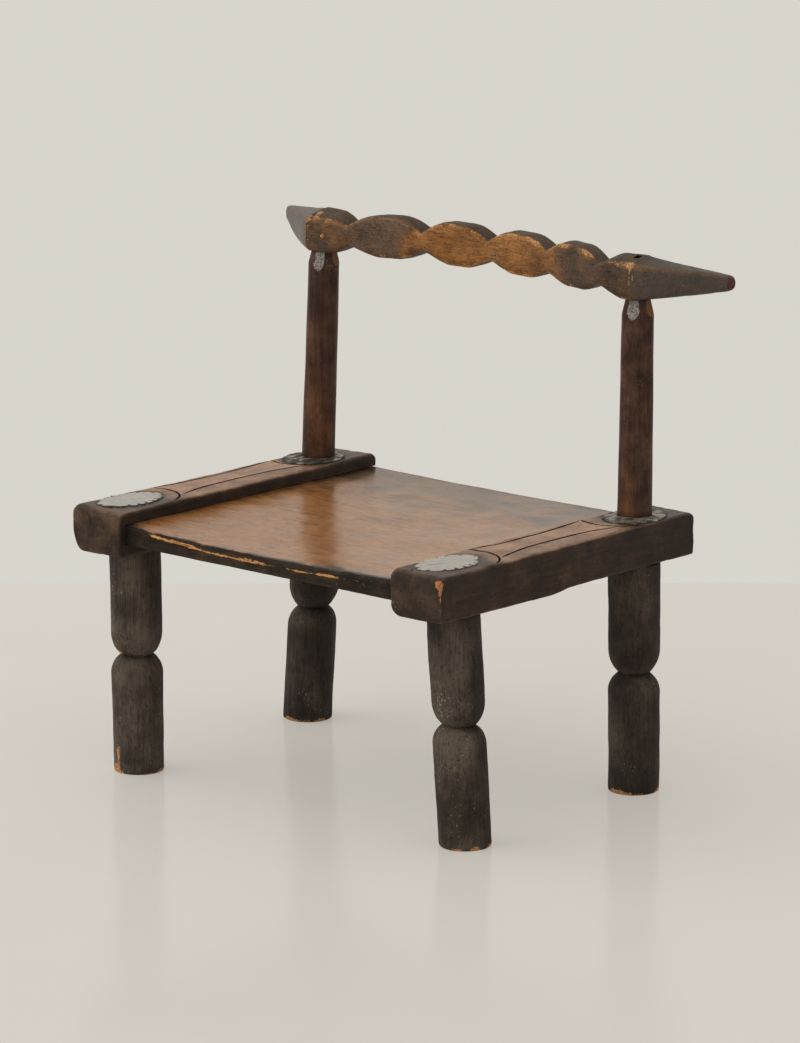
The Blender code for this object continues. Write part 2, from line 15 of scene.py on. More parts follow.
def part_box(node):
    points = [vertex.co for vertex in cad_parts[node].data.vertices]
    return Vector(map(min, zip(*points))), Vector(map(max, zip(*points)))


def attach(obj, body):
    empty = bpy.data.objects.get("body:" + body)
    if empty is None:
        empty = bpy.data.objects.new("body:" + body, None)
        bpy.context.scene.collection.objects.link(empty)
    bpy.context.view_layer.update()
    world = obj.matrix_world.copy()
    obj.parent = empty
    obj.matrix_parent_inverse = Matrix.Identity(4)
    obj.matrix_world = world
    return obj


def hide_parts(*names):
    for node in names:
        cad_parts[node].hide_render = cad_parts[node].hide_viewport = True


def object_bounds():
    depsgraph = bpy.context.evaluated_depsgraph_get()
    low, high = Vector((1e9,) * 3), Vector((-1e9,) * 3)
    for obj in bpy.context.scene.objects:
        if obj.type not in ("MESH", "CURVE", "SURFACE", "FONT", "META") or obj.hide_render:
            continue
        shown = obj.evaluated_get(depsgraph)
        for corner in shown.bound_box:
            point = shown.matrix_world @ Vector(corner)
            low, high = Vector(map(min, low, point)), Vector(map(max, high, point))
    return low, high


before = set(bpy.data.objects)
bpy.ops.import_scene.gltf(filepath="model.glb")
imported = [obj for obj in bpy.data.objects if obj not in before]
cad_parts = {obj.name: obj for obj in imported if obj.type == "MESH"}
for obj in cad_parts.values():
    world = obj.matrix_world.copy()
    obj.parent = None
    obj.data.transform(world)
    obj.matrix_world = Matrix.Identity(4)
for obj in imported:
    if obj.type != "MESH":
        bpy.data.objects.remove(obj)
cad_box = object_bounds()
BOX_LOW, BOX_HIGH = (np.array(corner) for corner in cad_box)

SIDES = (("left", -1), ("right", 1))

# Joints: mortise centres on the rails, the gap left round what is let into another piece,
# how far a cutter runs out past a surface, and the band beside a joint that isn't roughened
RAIL_LOW, RAIL_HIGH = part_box("right_rail")
RAIL_X = (RAIL_LOW.x + RAIL_HIGH.x) / 2
RAIL_INNER_X = RAIL_LOW.x
RAIL_TOP = RAIL_HIGH.z
RAIL_BOTTOM = RAIL_LOW.z
RAIL_HALF = (RAIL_HIGH.x - RAIL_LOW.x) / 2
JOINT_Y = 0.143
TENON_RADIUS = 0.015
GAP = 0.0003
OVERRUN = 0.01
JOINT_BAND = 0.0008

# Rough surfaces: depth, wavelength, and stretch along x, y and z of each layer
RAIL_ROUGHNESS = ((0.0005, 0.10, (1, 3, 1)), (0.00022, 0.022, (1, 3, 1)), (0.00008, 0.006, (1, 3, 1)))
SEAT_ROUGHNESS = ((0.00035, 0.11, (2, 1, 1)), (0.00018, 0.03, (3, 1, 1)), (0.00006, 0.007, (3, 1, 1)))
LEG_ROUGHNESS = ((0.00045, 0.05, (1, 1, 3)), (0.00022, 0.012, (1, 1, 5)), (0.00008, 0.004, (1, 1, 4)))
POST_ROUGHNESS = ((0.0003, 0.05, (1, 1, 4)), (0.00014, 0.011, (1, 1, 6)))
CREST_ROUGHNESS = ((0.0004, 0.07, (2, 1, 1)), (0.0002, 0.018, (2, 1, 1)), (0.00007, 0.006, (2, 1, 1)))
PIN_ROUGHNESS = ((0.00015, 0.004, (1, 1, 1)),)

# Side rails: round-over of each edge, and the step under the rear of the right rail
RAIL_TOP_ROUND = (0.005, 0.004)
RAIL_FRONT_ROUND = 0.009
RAIL_REAR_ROUND = 0.006
RAIL_END_ROUND = 0.003
RAIL_WORN_ROUND = {-1: (0.012, 0.024), 1: (0.014, 0.012)}
RAIL_CRISP_ROUND = (0.0025, 0.0025)
RAIL_END_STATIONS = (0, 0.0003, 0.0009, 0.0018, 0.003, 0.0048, 0.007, 0.0095)
RAIL_STEP = 0.0034
UNDERCUT_DEPTH = 0.003
UNDERCUT_START = -0.030
UNDERCUT_RUN = 0.034
BED_SLACK = 0.002

# Incised ornament on the rail tops: two arcs round the discs and two lines that bow inwards,
# laid out on both rails from the edge on the left
LINE_WIDTH = 0.0027
LINE_DEPTH = 0.0015
LINE_MARGIN = 0.0035
ARC_RADIUS = 0.041
ARC_CENTRE_LEFT = 0.011
ARC_CENTRE_Y = 0.1225
LEFT_LINE_END = 0.0025
LEFT_LINE_BOW = 0.0105
RIGHT_LINE_END = 0.0500
RIGHT_LINE_BOW = 0.0400
LINE_HALF_LENGTH = 0.088
REAR_ARC_SHIFT = {-1: 0.014, 1: 0.006}
PANEL_BLUR = 0.0007
PANEL_SKIN = 0.003

# The front of the right rail: a crack, as points right of its middle, behind its front end and below
# its top, and a bare chip on its outer corner with a split that runs further down
CRACK = ((-0.0075, 0.0005, 0.0065), (-0.0095, 0.003, 0.0032), (-0.0125, 0.008, 0.0008),
         (-0.018, 0.017, 0.0002))
CRACK_WIDTH = 0.0012
CHIP_WIDTH, CHIP_HEIGHT = 0.010, 0.030
SPLIT_WIDTH, SPLIT_HEIGHT = 0.003, 0.036

# Seat board: its dish, the worn slope and stained band along its front edge, and its grooves
SEAT_LOW, SEAT_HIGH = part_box("seat_board")
SEAT_FRONT_DISH = 0.0055
SEAT_REAR_DISH = 0.002
SEAT_SLOPE_RUN = 0.0055
SEAT_SLOPE_TURN = math.radians(62)
SEAT_LEFT_FALL = 0.0034
SEAT_MIDDLE_FALL = 0.0062
SEAT_EDGE_ROUND = 0.002
GROOVE_DEPTH = 0.012
GROOVE_END_GAP = 0.0008
STAIN_LEFT, STAIN_MIDDLE = 0.0035, 0.0068

# Beaded legs: profile, how far each foot stands off its mortise (right, back), wear and tone of each,
# and the turns about a leg's axis that carry painted shade, a scar or a scuff
LEG_RADIUS = 0.027
LEG_WAIST_RADIUS = 0.0155
LEG_WAIST_HEIGHT = 0.1257
LEG_UPPER_ROUND = 0.026
LEG_LOWER_ROUND = 0.020
LEG_ROUND_TURN = math.radians(64)
LEG_FOOT_RADIUS = 0.0266
LEG_FOOT_BEVEL = 0.0022
REAR_LEG_TENON = 0.022
FRONT_TENON_SHY = 0.0005
FOOT_BAND = 0.0004
FOOT_OFFSETS = {
    "front_left": (0.002, 0.001),
    "front_right": (0.0075, 0.010),
    "rear_left": (-0.0096, -0.0075),
    "rear_right": (0.0042, -0.003),
}
FOOT_WEAR = {"front_left": 0.95, "front_right": 0.92, "rear_left": 0.7, "rear_right": 0.74}
LEG_TONES = {"front_left": 0.58, "front_right": 0.32, "rear_left": 0.10, "rear_right": 0.22}
LEG_PAINTED_SHADE_TURN = 0.4
LEG_SCAR_TURN = -1.75
FOOT_SCUFF_TURN = -1.95

# Back posts, whittled to a taper under the crest rail. The first facet is a bare silver grey.
POST_BASE_RADIUS = 0.018
POST_NECK_RADIUS = 0.0166
POST_TOP_RADIUS = 0.0137
POST_LEAN_IN = 0.004
POST_LEAN_BACK = 0.0065
WHITTLE_LENGTH = 0.020
WHITTLE_SIDES = 9
WHITTLE_START = math.radians(-70)
WHITTLE_LIFT = 0.0004
SILVER_LENGTH = 0.0215
POST_TONES = {-1: 0.12, 1: 0.10}
# Turns about each post's axis round which a painted highlight lightens the wood
POST_PAINTED_HIGHLIGHT_TURNS = {-1: -2.2, 1: -1.3}
CREST_TENON_RADIUS = 0.010
CREST_TENON_LENGTH = 0.030
POST_HEAD_X = RAIL_X - POST_LEAN_IN
POST_HEAD_Y = JOINT_Y + POST_LEAN_BACK

# Crest rail: distances ahead, behind and outboard are taken from the post axis
CREST_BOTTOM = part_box("crest_rail")[0].z
CREST_HEIGHT = 0.047
CREST_MIDDLE = CREST_BOTTOM + CREST_HEIGHT / 2
CREST_DEPTH = 0.0307
CREST_BOW = 0.0287
CREST_FRONT = 0.0172
LOBE_COUNT = 4
LOBE_HEIGHT = 0.045
TOP_NOTCH = 0.0124
LOWER_NOTCH = 0.0105
LOWER_NOTCH_SHIFT = 0.004
NOTCH_DEPTHS = (1.0, 1.22, 1.12, 1.0, 1.0)
TOP_FLANK, TOP_FULLNESS = 0.034, 1.9
LOWER_FLANK, LOWER_FULLNESS = 0.031, 1.35
BLOCK_INNER = 0.0441
BLOCK_FRONT = 0.022
BLOCK_BACK = {-1: 0.023, 1: 0.0145}
BLOCK_ARRIS = 0.0071
BLOCK_TOP_FALL = 0.0085
BLOCK_FLANK = 0.026
BAR_HALF = POST_HEAD_X - BLOCK_INNER
ARRIS_X = POST_HEAD_X + BLOCK_ARRIS
HORN_REACH = 0.0905
HORN_TIP_X = POST_HEAD_X + HORN_REACH
HORN_SWEEP = 0.043
HORN_TIP_HEIGHT = 0.015
HORN_TIP_DEPTH = 0.0125
HORN_TIP_ROUND = 0.005
HORN_END_SKIN = 0.0025
HORN_LIFT = {-1: 0.003, 1: -0.003}
HORN_TOP_FULLNESS = 0.75
HORN_LOWER_FULLNESS = {-1: 2.9, 1: 1.15}
HORN_TIP_DROP = {-1: 0.011, 1: 0.015}
BAR_SQUARENESS = 4.6
TIP_SQUARENESS = 2.8

# Where the crest rail's colours begin and end: along x, or as shares of its depth and height
TAN_LEFT, TAN_RIGHT = (-0.105, -0.075), (0.130, 0.070)
# Span of the grey dust with a painted sheen on the first lobe
DUST_SHEEN_LEFT, DUST_SHEEN_RIGHT = (-0.185, -0.150), (-0.085, -0.115)
LEFT_BLOCK_END, RIGHT_DARKENING = (-0.205, -0.175), (0.05, 0.12)
FRONT_FACE = (0.20, 0.06)
BLOCK_TOP_LEVEL = (0.85, 0.98)

# The peg in the left block and the pin in the right one
PEG_RADIUS = 0.0025
PEG_LENGTH = 0.008
PEG_TURN = math.radians(33)
PEG_SHIFT = np.array((0.0025, 0.0, 0.0041))
PEG_DOME = ((0.25, 0.0008), (0.6, 0.0006), (0.86, 0.0002), (1.0, -0.0005))
PIN_SHY = 0.0012

# Metal discs, longer along the rail than across it, with a notched rim
CAP_HALF = (0.026, 0.042)
COLLAR_HALF = (0.0305, 0.038)
CAP_SHIFT = (-0.0072, 0.001)
COLLAR_SHIFT = {-1: (-0.0030, -0.0041), 1: (0.0, 0.0)}
CAP_MIDDLE_RADIUS = 0.0006
DISC_THICKNESS = 0.0008
DISC_COLUMNS = 300
DISC_NOTCH_COUNT = 15
DISC_NOTCH_WIDTH = 0.0040
DISC_NOTCH_BLUR = 0.0003
CAP_NOTCH_DEPTH = 0.0044
COLLAR_NOTCH_DEPTH = 0.0018
DISC_CHORD = 0.029
DISC_CHORD_ANGLE = math.radians(41)
DISC_RIM_DROP = 0.0003
DISC_CRUMPLE = ((0.00022, 0.03), (0.00012, 0.009))
DISC_RISE = (-0.0002, 0.006)
DISC_SINK = 0.0001
COLLAR_LIP = 0.0024
CREASE = ((-0.0103, -0.0255), (-0.002, -0.0112), (0.0071, 0.003))
CREASE_WIDTH = 0.0010

# Textures: sizes of the marks in wood (length and width along the grain, or sizes along x, y and z),
# colours laid over wood and metal, and the range of noise that the grain's colours span
FIBRE_SIZE = (0.022, 0.0009)
PORE_SIZE = (0.011, 0.0007)
CLOUD_SIZE = 0.035
GRIT_SIZE = 0.0016
PIT_SIZE = (0.0028, 0.0028, 0.0042)
SPECK_SIZE = (0.0017, 0.0017, 0.0023)
SCUFFED_PATCH_SIZE = 0.045
SCUFF_COLOUR = (0.34, 0.285, 0.22, 1)
# Near-black laid over dirt and over painted shade
GRIME_AND_SHADE_COLOUR = (0.012, 0.009, 0.007, 1)
TARNISH_COLOUR = (0.055, 0.045, 0.035, 1)
GRAIN_RANGE = (0.36, 0.64)

# Camera: the photo's height and focal length in pixels, its angles round the chair, and its aim
PHOTO_HEIGHT = 1043
FOCAL_PIXELS = 5500
CAMERA_AZIMUTH = math.radians(41.309)
CAMERA_ELEVATION = math.radians(12.784)
CAMERA_DISTANCE = 5.7167
CAMERA_AIM = (0.01774, 0.02569)
AIM_HEIGHT = 0.25
SENSOR = 36.0

# Floor: its far edge and half width, its paint, and the even pale colour mixed into what is seen of it
FLOOR_BEHIND = 0.88
FLOOR_REACH = 9
FLOOR_PAINT = ((0.715, 0.692, 0.660), (0.745, 0.722, 0.690))
FLOOR_PALE = (0.645, 0.605, 0.548, 1)
FLOOR_EVENNESS = 0.5

# Surround and lamp: the surround's light grows towards its bright side
SURROUND_COLOUR = (0.687, 0.662, 0.608, 1)
BRIGHT_SIDE = (-0.88, -0.42, 0.22)
SURROUND_LIGHT = (0.72, 1.72)
LAMP_POSITION = (-3.0, -2.2, 2.4)
LAMP_SIZE = 4.5
LAMP_POWER = 40


# Mesh helpers

def smoothstep(value, low, high):
    share = np.clip((value - low) / (high - low), 0, 1)
    return share * share * (3 - 2 * share)


def between(low, high, share):
    return low + (high - low) * share


def hump(value, centre, width):
    """1 at the centre, falling smoothly to 0 over about two widths."""
    return np.exp(-((value - centre) / width) ** 2)


def wobble(points, wavelength, seed, waves=20):
    """Smooth random height, about -1 to 1, at each point: sine waves in random directions."""
    random = np.random.default_rng(seed)
    directions = random.normal(size=(waves, 3))
    directions /= np.linalg.norm(directions, axis=1, keepdims=True)
    pitch = 2 * np.pi / wavelength * random.uniform(0.6, 1.6, waves)
    phase = random.uniform(0, 2 * np.pi, waves)
    return np.sin((points @ directions.T) * pitch + phase).sum(axis=-1) / math.sqrt(waves)


def full_turn(steps):
    return np.linspace(0, 2 * np.pi, steps, endpoint=False)


def columns_of(*values):
    """An array with each value in a column of its own. A single number fills its column."""
    return np.stack(np.broadcast_arrays(*values), axis=-1)


def corners_of(node):
    """Lowest and highest corner of a CAD node's box."""
    return [np.array(corner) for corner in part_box(node)]


def skin(rings, ring_closes=False):
    """A mesh through rings of equally many points. The end rings are filled, or joined to each other."""
    rows, columns = rings.shape[:2]
    index = np.arange(rows * columns).reshape(rows, columns)
    start = np.vstack([index, index[:1]]) if ring_closes else index
    beside = np.roll(start, -1, axis=1)
    quads = np.stack([start[:-1], beside[:-1], beside[1:], start[1:]], axis=-1)
    faces = quads.reshape(-1, 4).tolist()
    if not ring_closes:
        faces.append(index[0][::-1].tolist())
        faces.append(index[-1].tolist())
    mesh = bpy.data.meshes.new("skin")
    mesh.from_pydata(rings.reshape(-1, 3).tolist(), [], faces)
    work = bmesh.new()
    work.from_mesh(mesh)
    bmesh.ops.recalc_face_normals(work, faces=work.faces)
    work.to_mesh(mesh)
    work.free()
    return mesh


def ended(rings, shares):
    """The rings, with each end face filled by rings that shrink to its middle by the given shares."""
    shares = np.array(shares)[:, None, None]
    first, last = (between(ring.mean(0), ring, shares) for ring in (rings[0], rings[-1]))
    return np.concatenate([first[::-1], rings, last])


def vectors(items, name):
    values = np.empty(len(items) * 3)
    items.foreach_get(name, values)
    return values.reshape(-1, 3)


def coordinates(mesh):
    return vectors(mesh.vertices, "co")


def normals_of(mesh):
    return vectors(mesh.vertex_normals, "vector")


def place(mesh, points):
    """Moves the vertices, and keeps them inside the CAD model's box."""
    mesh.vertices.foreach_set("co", np.clip(points, BOX_LOW, BOX_HIGH).ravel())
    mesh.update()


def roughen(mesh, layers, seed, seed_step=3, heights=None):
    """Moves vertices in and out, or only those between two heights. Each layer has a seed of its own."""
    points = coordinates(mesh)
    normals = normals_of(mesh)
    moved = points.copy()
    for number, (depth, wavelength, stretch) in enumerate(layers):
        rise = depth * wobble(points / np.array(stretch), wavelength, seed + number * seed_step)
        moved += normals * rise[:, None]
    if heights:
        still = (points[:, 2] < heights[0]) | (points[:, 2] > heights[1])
        moved[still] = points[still]
    place(mesh, moved)


def curvature(mesh):
    """How sharply the surface turns outwards at each vertex, in 1/m: 0 on a flat, high on an arris."""
    points = coordinates(mesh)
    normals = normals_of(mesh)
    pairs = np.empty(len(mesh.edges) * 2, dtype=np.int64)
    mesh.edges.foreach_get("vertices", pairs)
    first, second = pairs.reshape(-1, 2).T
    step = points[first] - points[second]
    squared = np.maximum((step * step).sum(1), 1e-9)
    total = np.zeros(len(points))
    count = np.zeros(len(points))
    np.add.at(total, first, (normals[first] * step).sum(1) / squared)
    np.add.at(total, second, -(normals[second] * step).sum(1) / squared)
    np.add.at(count, first, 1)
    np.add.at(count, second, 1)
    return total / np.maximum(count, 1)


def paint(mesh, **masks):
    """Stores each mask, 0 to 1, as a point attribute that the materials read."""
    for name, values in masks.items():
        layer = mesh.attributes.new(name, "FLOAT", "POINT")
        spread = np.broadcast_to(values, len(mesh.vertices))
        layer.data.foreach_set("value", np.clip(spread, 0, 1).astype(np.float32))


def rod(start, end, radius, sides=32):
    """A straight round bar, for cutting holes."""
    start, end = np.array(start, float), np.array(end, float)
    axis = (end - start) / np.linalg.norm(end - start)
    across = np.cross(axis, (1, 0, 0) if abs(axis[0]) < 0.9 else (0, 1, 0))
    across /= np.linalg.norm(across)
    other = np.cross(axis, across)
    turn = full_turn(sides)[:, None]
    ring = radius * (np.cos(turn) * across + np.sin(turn) * other)
    return skin(np.stack([start + ring, end + ring]))


def block(low, high):
    """A box between two corners, for cutting grooves."""
    (x0, y0, z0), (x1, y1, z1) = low, high
    base = np.array([(x0, y0, z0), (x1, y0, z0), (x1, y1, z0), (x0, y1, z0)])
    return skin(np.stack([base, base + (0, 0, z1 - z0)]))


def scribe(path, width, depth):
    """A V-shaped bar along a level path, for cutting an incised line that runs out at both ends."""
    path = np.array(path, float)
    along = np.gradient(path, axis=0)
    along /= np.linalg.norm(along, axis=1, keepdims=True)
    aside = columns_of(-along[:, 1], along[:, 0], 0.0)
    share = np.linspace(0, 1, len(path))
    swell = (0.45 + 0.55 * smoothstep(np.minimum(share, 1 - share), 0, 0.06))[:, None]
    rise = np.array((0, 0, 1.0))
    half = aside * width / 2 * swell
    rings = np.stack([path - rise * depth * swell, path + half, path + half * 1.6 + rise * depth,
                      path - half * 1.6 + rise * depth, path - half], axis=1)
    return skin(rings)


def linked(name, data):
    """A new object in the scene that shows the data."""
    made = bpy.data.objects.new(name, data)
    bpy.context.scene.collection.objects.link(made)
    return made


def cut(mesh, cutters):
    """The mesh with the cutters taken out of it. Cut walls take the cutter's material where it has one."""
    target = linked("target", mesh)
    tools = [linked("tool", cutter) for cutter in cutters]
    for tool in tools:
        modifier = target.modifiers.new("cut", "BOOLEAN")
        modifier.object = tool
        modifier.solver = "EXACT"
        modifier.material_mode = "TRANSFER"
    bpy.context.view_layer.update()
    result = bpy.data.meshes.new_from_object(target.evaluated_get(bpy.context.evaluated_depsgraph_get()))
    for made in [target, *tools]:
        bpy.data.objects.remove(made)
    return result


def add_piece(node, mesh, material):
    """Shows the mesh in place of a CAD node."""
    piece = linked(f"worn_{node}", mesh)
    if material.name not in mesh.materials:
        mesh.materials.append(material)
    mesh.shade_smooth()
    mesh.set_sharp_from_angle(angle=math.radians(38))
    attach(piece, "root")
    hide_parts(node)


# Materials

class Nodes:
    """A node tree, with short calls for the few kinds of node used here."""

    def __init__(self, tree):
        self.tree = tree

    def node(self, kind, inputs, **settings):
        made = self.tree.nodes.new(kind)
        for key, value in settings.items():
            setattr(made, key, value)
        for key, value in inputs.items():
            self.put(made.inputs[key], value)
        return made

    def put(self, socket, value):
        if isinstance(value, bpy.types.NodeSocket):
            self.tree.links.new(value, socket)
        else:
            socket.default_value = value

    def remap(self, value, low, high, to_low=0.0, to_high=1.0, curve="SMOOTHSTEP"):
        inputs = {"Value": value, "From Min": low, "From Max": high, "To Min": to_low, "To Max": to_high}
        return self.node("ShaderNodeMapRange", inputs, interpolation_type=curve).outputs[0]

    def math(self, operation, *values):
        return self.node("ShaderNodeMath", dict(enumerate(values)), operation=operation).outputs[0]

    def sum(self, *terms):
        """Adds up pairs of a value and its weight."""
        total = 0.0
        for value, weight in terms:
            total = self.math("MULTIPLY_ADD", value, weight, total)
        return total

    def times(self, first, second):
        return self.math("MULTIPLY", first, second)

    def mix(self, share, first, second):
        inputs = {0: share, 6: first, 7: second}
        return self.node("ShaderNodeMix", inputs, data_type="RGBA").outputs[2]

    def ramp(self, value, first, second, low=0.3, high=0.7):
        return self.mix(self.remap(value, low, high), (*first, 1), (*second, 1))

    def seen_directly(self):
        """1 for what the camera sees, also in gloss or glass, and 0 for light that falls on things."""
        path = self.node("ShaderNodeLightPath", {}).outputs
        gloss_or_glass = self.math("MAXIMUM", path["Is Glossy Ray"], path["Is Transmission Ray"])
        return self.math("MAXIMUM", path["Is Camera Ray"], gloss_or_glass)


class Shader(Nodes):
    """A material, with the textures and masks that it is made from."""

    def __init__(self, name):
        self.material = bpy.data.materials.new(name)
        self.material.use_nodes = True
        super().__init__(self.material.node_tree)
        self.surface = self.tree.nodes["Principled BSDF"]
        self.position = self.node("ShaderNodeTexCoord", {}).outputs["Object"]

    def noise(self, size, detail=3.0, roughness=0.55, seed=0.0):
        """Noise with marks of the given size, or of a size along each of x, y and z."""
        scale = (1 / np.broadcast_to(size, 3)).tolist()
        inputs = {"Vector": self.position, "Scale": scale, "Location": (seed, seed, seed)}
        mapped = self.node("ShaderNodeMapping", inputs).outputs[0]
        inputs = {"Vector": mapped, "Scale": 1.0, "Detail": detail, "Roughness": roughness}
        return self.node("ShaderNodeTexNoise", inputs).outputs["Fac"]

    def mask(self, name):
        return self.node("ShaderNodeAttribute", {}, attribute_name=name).outputs["Fac"]

    def finish(self, colour, roughness, height, relief):
        bump = self.node("ShaderNodeBump", {"Height": height, "Strength": 1.0, "Distance": relief})
        self.put(self.surface.inputs["Base Color"], colour)
        self.put(self.surface.inputs["Roughness"], roughness)
        self.put(self.surface.inputs["Normal"], bump.outputs[0])
        return self.material


def along_grain(axis, length, width):
    return tuple(length if i == axis else width for i in range(3))


def wood(name, axis, dark, light, bare, gloss, relief, specular, streak=(0.16, 0.0055),
         figure=(0.3, 0.3, 0.4), scuffs=0.0, pitting=0.0, ash=None, seed=0.0):
    """Stained wood with its grain along one axis.

    dark and light are the colours where the tone mask is 0 and 1, each for the deep and the raised grain.
    figure weighs long streaks, fine fibres and soft clouds in that grain.
    The greyer pair of colours, if given, shows by its own mask, for grey dust with a painted sheen.
    The wear mask lays bare wood open, the dark mask lays on dirt and painted shade, and the polish mask
    smooths.
    """
    s = Shader(name)
    s.surface.inputs["Specular IOR Level"].default_value = specular
    streaks = s.noise(along_grain(axis, *streak), detail=4, seed=seed)
    fibres = s.noise(along_grain(axis, *FIBRE_SIZE), detail=2, seed=seed + 3)
    pores = s.noise(along_grain(axis, *PORE_SIZE), detail=1, seed=seed + 7)
    clouds = s.noise(CLOUD_SIZE, detail=5, roughness=0.65, seed=seed + 11)
    grit = s.noise(GRIT_SIZE, detail=2, seed=seed + 13)
    grain = s.sum((streaks, figure[0]), (fibres, figure[1]), (clouds, figure[2]))
    tone = s.remap(s.sum((s.mask("tone"), 1.0), (clouds, 0.6), (grit, 0.15), (streaks, 0.1)), 0.42, 1.25)
    colour = s.mix(tone, s.ramp(grain, *dark, *GRAIN_RANGE), s.ramp(grain, *light, *GRAIN_RANGE))
    if ash:
        colour = s.mix(s.mask("ash"), colour, s.ramp(grain, *ash, *GRAIN_RANGE))
    pore = s.remap(pores, 0.58, 0.72)
    colour = s.mix(s.times(pore, 0.5), colour, (*dark[0], 1))
    worn = s.sum((s.mask("wear"), 1.0), (fibres, 0.35), (grit, 0.8), (clouds, 0.25))
    worn = s.remap(worn, 1.15, 1.30)
    bared = s.ramp(s.sum((fibres, 0.5), (grit, 0.5)), *bare, 0.38, 0.6)
    colour = s.mix(worn, colour, bared)
    height = [(streaks, 1.6 * figure[0]), (fibres, 0.5), (pore, -0.5), (grit, 0.3), (worn, -0.35)]
    if pitting:
        pit = s.remap(s.noise(PIT_SIZE, detail=3, seed=seed + 17), 0.60, 0.70)
        colour = s.mix(s.times(pit, pitting), colour, (*(0.5 * c for c in dark[0]), 1))
        height.append((pit, -0.9))
    if scuffs:
        specks = s.noise(SPECK_SIZE, detail=3, seed=seed + 19)
        patches = s.noise(SCUFFED_PATCH_SIZE, detail=2, seed=seed + 23)
        speck = s.remap(s.sum((specks, 1.0), (patches, 0.5)), 0.945, 1.01)
        colour = s.mix(s.times(speck, scuffs), colour, SCUFF_COLOUR)
    # Near-black where the dark mask is set: real dirt, and the painted shade laid on the rails and the seat
    colour = s.mix(s.times(s.mask("grime"), 0.85), colour, GRIME_AND_SHADE_COLOUR)
    dull = s.sum((clouds, 0.5), (fibres, 0.3), (worn, 0.35), (s.mask("polish"), -0.45))
    roughness = s.remap(dull, -0.2, 0.6, *gloss)
    return s.finish(colour, roughness, s.sum(*height), relief)


def plain_wood(name, axis, colours, bare, gloss, specular, seed):
    """Wood of one stain all over."""
    return wood(name, axis, colours, colours, bare, gloss, 0.0003, specular, seed=seed)


def sheet_metal(name, dull, bright, shine, relief):
    """Dull tinned sheet, hammered flat, with tarnish in its creases."""
    s = Shader(name)
    clouds = s.noise(0.02, detail=4)
    dents = s.noise(0.005, detail=3, seed=5)
    scratches = s.noise((0.0011, 0.016, 0.01), detail=2, seed=9)
    tarnish = s.sum((clouds, 0.45), (dents, 0.45), (scratches, 0.2), (s.mask("grime"), 1.0))
    tarnish = s.remap(tarnish, 0.62, 0.98)
    colour = s.mix(tarnish, s.ramp(scratches, dull, bright), TARNISH_COLOUR)
    s.surface.inputs["Metallic"].default_value = shine
    roughness = s.remap(s.sum((clouds, 0.5), (tarnish, 0.5)), 0.2, 0.8, 0.36, 0.62)
    height = s.sum((dents, 0.8), (scratches, 0.2), (clouds, 0.5))
    return s.finish(colour, roughness, height, relief)


CARVED = {"streak": (0.03, 0.003), "figure": (0.25, 0.3, 0.45), "scuffs": 0.35, "pitting": 0.45, "seed": 67}
RAIL_WOOD = wood("rail_wood", 1, ((0.019, 0.0105, 0.006), (0.056, 0.033, 0.020)),
                 ((0.245, 0.125, 0.073), (0.480, 0.280, 0.178)), ((0.26, 0.09, 0.028), (0.50, 0.22, 0.085)),
                 (0.32, 0.66), 0.0005, 0.2, figure=(0.2, 0.3, 0.5), scuffs=0.4, pitting=0.5)
SEAT_WOOD = wood("seat_wood", 0, ((0.016, 0.011, 0.007), (0.042, 0.030, 0.020)),
                 ((0.222, 0.085, 0.0245), (0.400, 0.181, 0.060)), ((0.30, 0.11, 0.03), (0.58, 0.28, 0.10)),
                 (0.16, 0.50), 0.00014, 0.68, streak=(0.045, 0.0021), figure=(0.38, 0.27, 0.35), seed=21)
SEAT_EDGE_WOOD = wood("seat_edge_wood", 0, ((0.014, 0.010, 0.007), (0.046, 0.034, 0.024)),
                      ((0.150, 0.058, 0.016), (0.310, 0.142, 0.048)),
                      ((0.34, 0.13, 0.035), (0.64, 0.32, 0.12)),
                      (0.5, 0.75), 0.0005, 0.1, figure=(0.25, 0.4, 0.35), scuffs=0.5, pitting=0.4, seed=21)
LEG_WOOD = wood("leg_wood", 2, ((0.022, 0.0165, 0.0126), (0.050, 0.039, 0.031)),
                ((0.066, 0.050, 0.038), (0.140, 0.109, 0.084)), ((0.32, 0.14, 0.045), (0.54, 0.28, 0.12)),
                (0.50, 0.75), 0.0005, 0.14, streak=(0.05, 0.004), figure=(0.26, 0.24, 0.50),
                scuffs=0.8, pitting=0.5, seed=37)
POST_WOOD = wood("post_wood", 2, ((0.031, 0.0168, 0.0130), (0.090, 0.052, 0.040)),
                 ((0.100, 0.042, 0.021), (0.225, 0.098, 0.045)), ((0.09, 0.085, 0.08), (0.36, 0.335, 0.31)),
                 (0.34, 0.55), 0.0003, 0.05, streak=(0.10, 0.005), figure=(0.3, 0.15, 0.55),
                 scuffs=0.35, pitting=0.3, seed=51)
CREST_WOOD = wood("crest_wood", 0, ((0.042, 0.0262, 0.0168), (0.107, 0.070, 0.0455)),
                  ((0.155, 0.061, 0.017), (0.410, 0.182, 0.053)),
                  ((0.31, 0.145, 0.050), (0.57, 0.30, 0.12)),
                  (0.40, 0.66), 0.0005, 0.16, ash=((0.079, 0.052, 0.037), (0.200, 0.136, 0.102)), **CARVED)
HORN_WOOD = wood("horn_wood", 0, ((0.034, 0.021, 0.0135), (0.088, 0.058, 0.038)),
                 ((0.130, 0.050, 0.012), (0.340, 0.148, 0.040)), ((0.26, 0.115, 0.033), (0.50, 0.25, 0.09)),
                 (0.30, 0.6), 0.0005, 0.54, **CARVED)
HORN_END_WOOD = plain_wood("horn_end_wood", 2, ((0.05, 0.018, 0.012), (0.11, 0.035, 0.022)),
                           ((0.16, 0.06, 0.03), (0.24, 0.1, 0.05)), (0.45, 0.65), 0.2, 69)
PEG_WOOD = plain_wood("peg_wood", 0, ((0.34, 0.16, 0.07), (0.55, 0.30, 0.15)),
                      ((0.42, 0.2, 0.1), (0.6, 0.33, 0.16)), (0.5, 0.7), 0.2, 71)
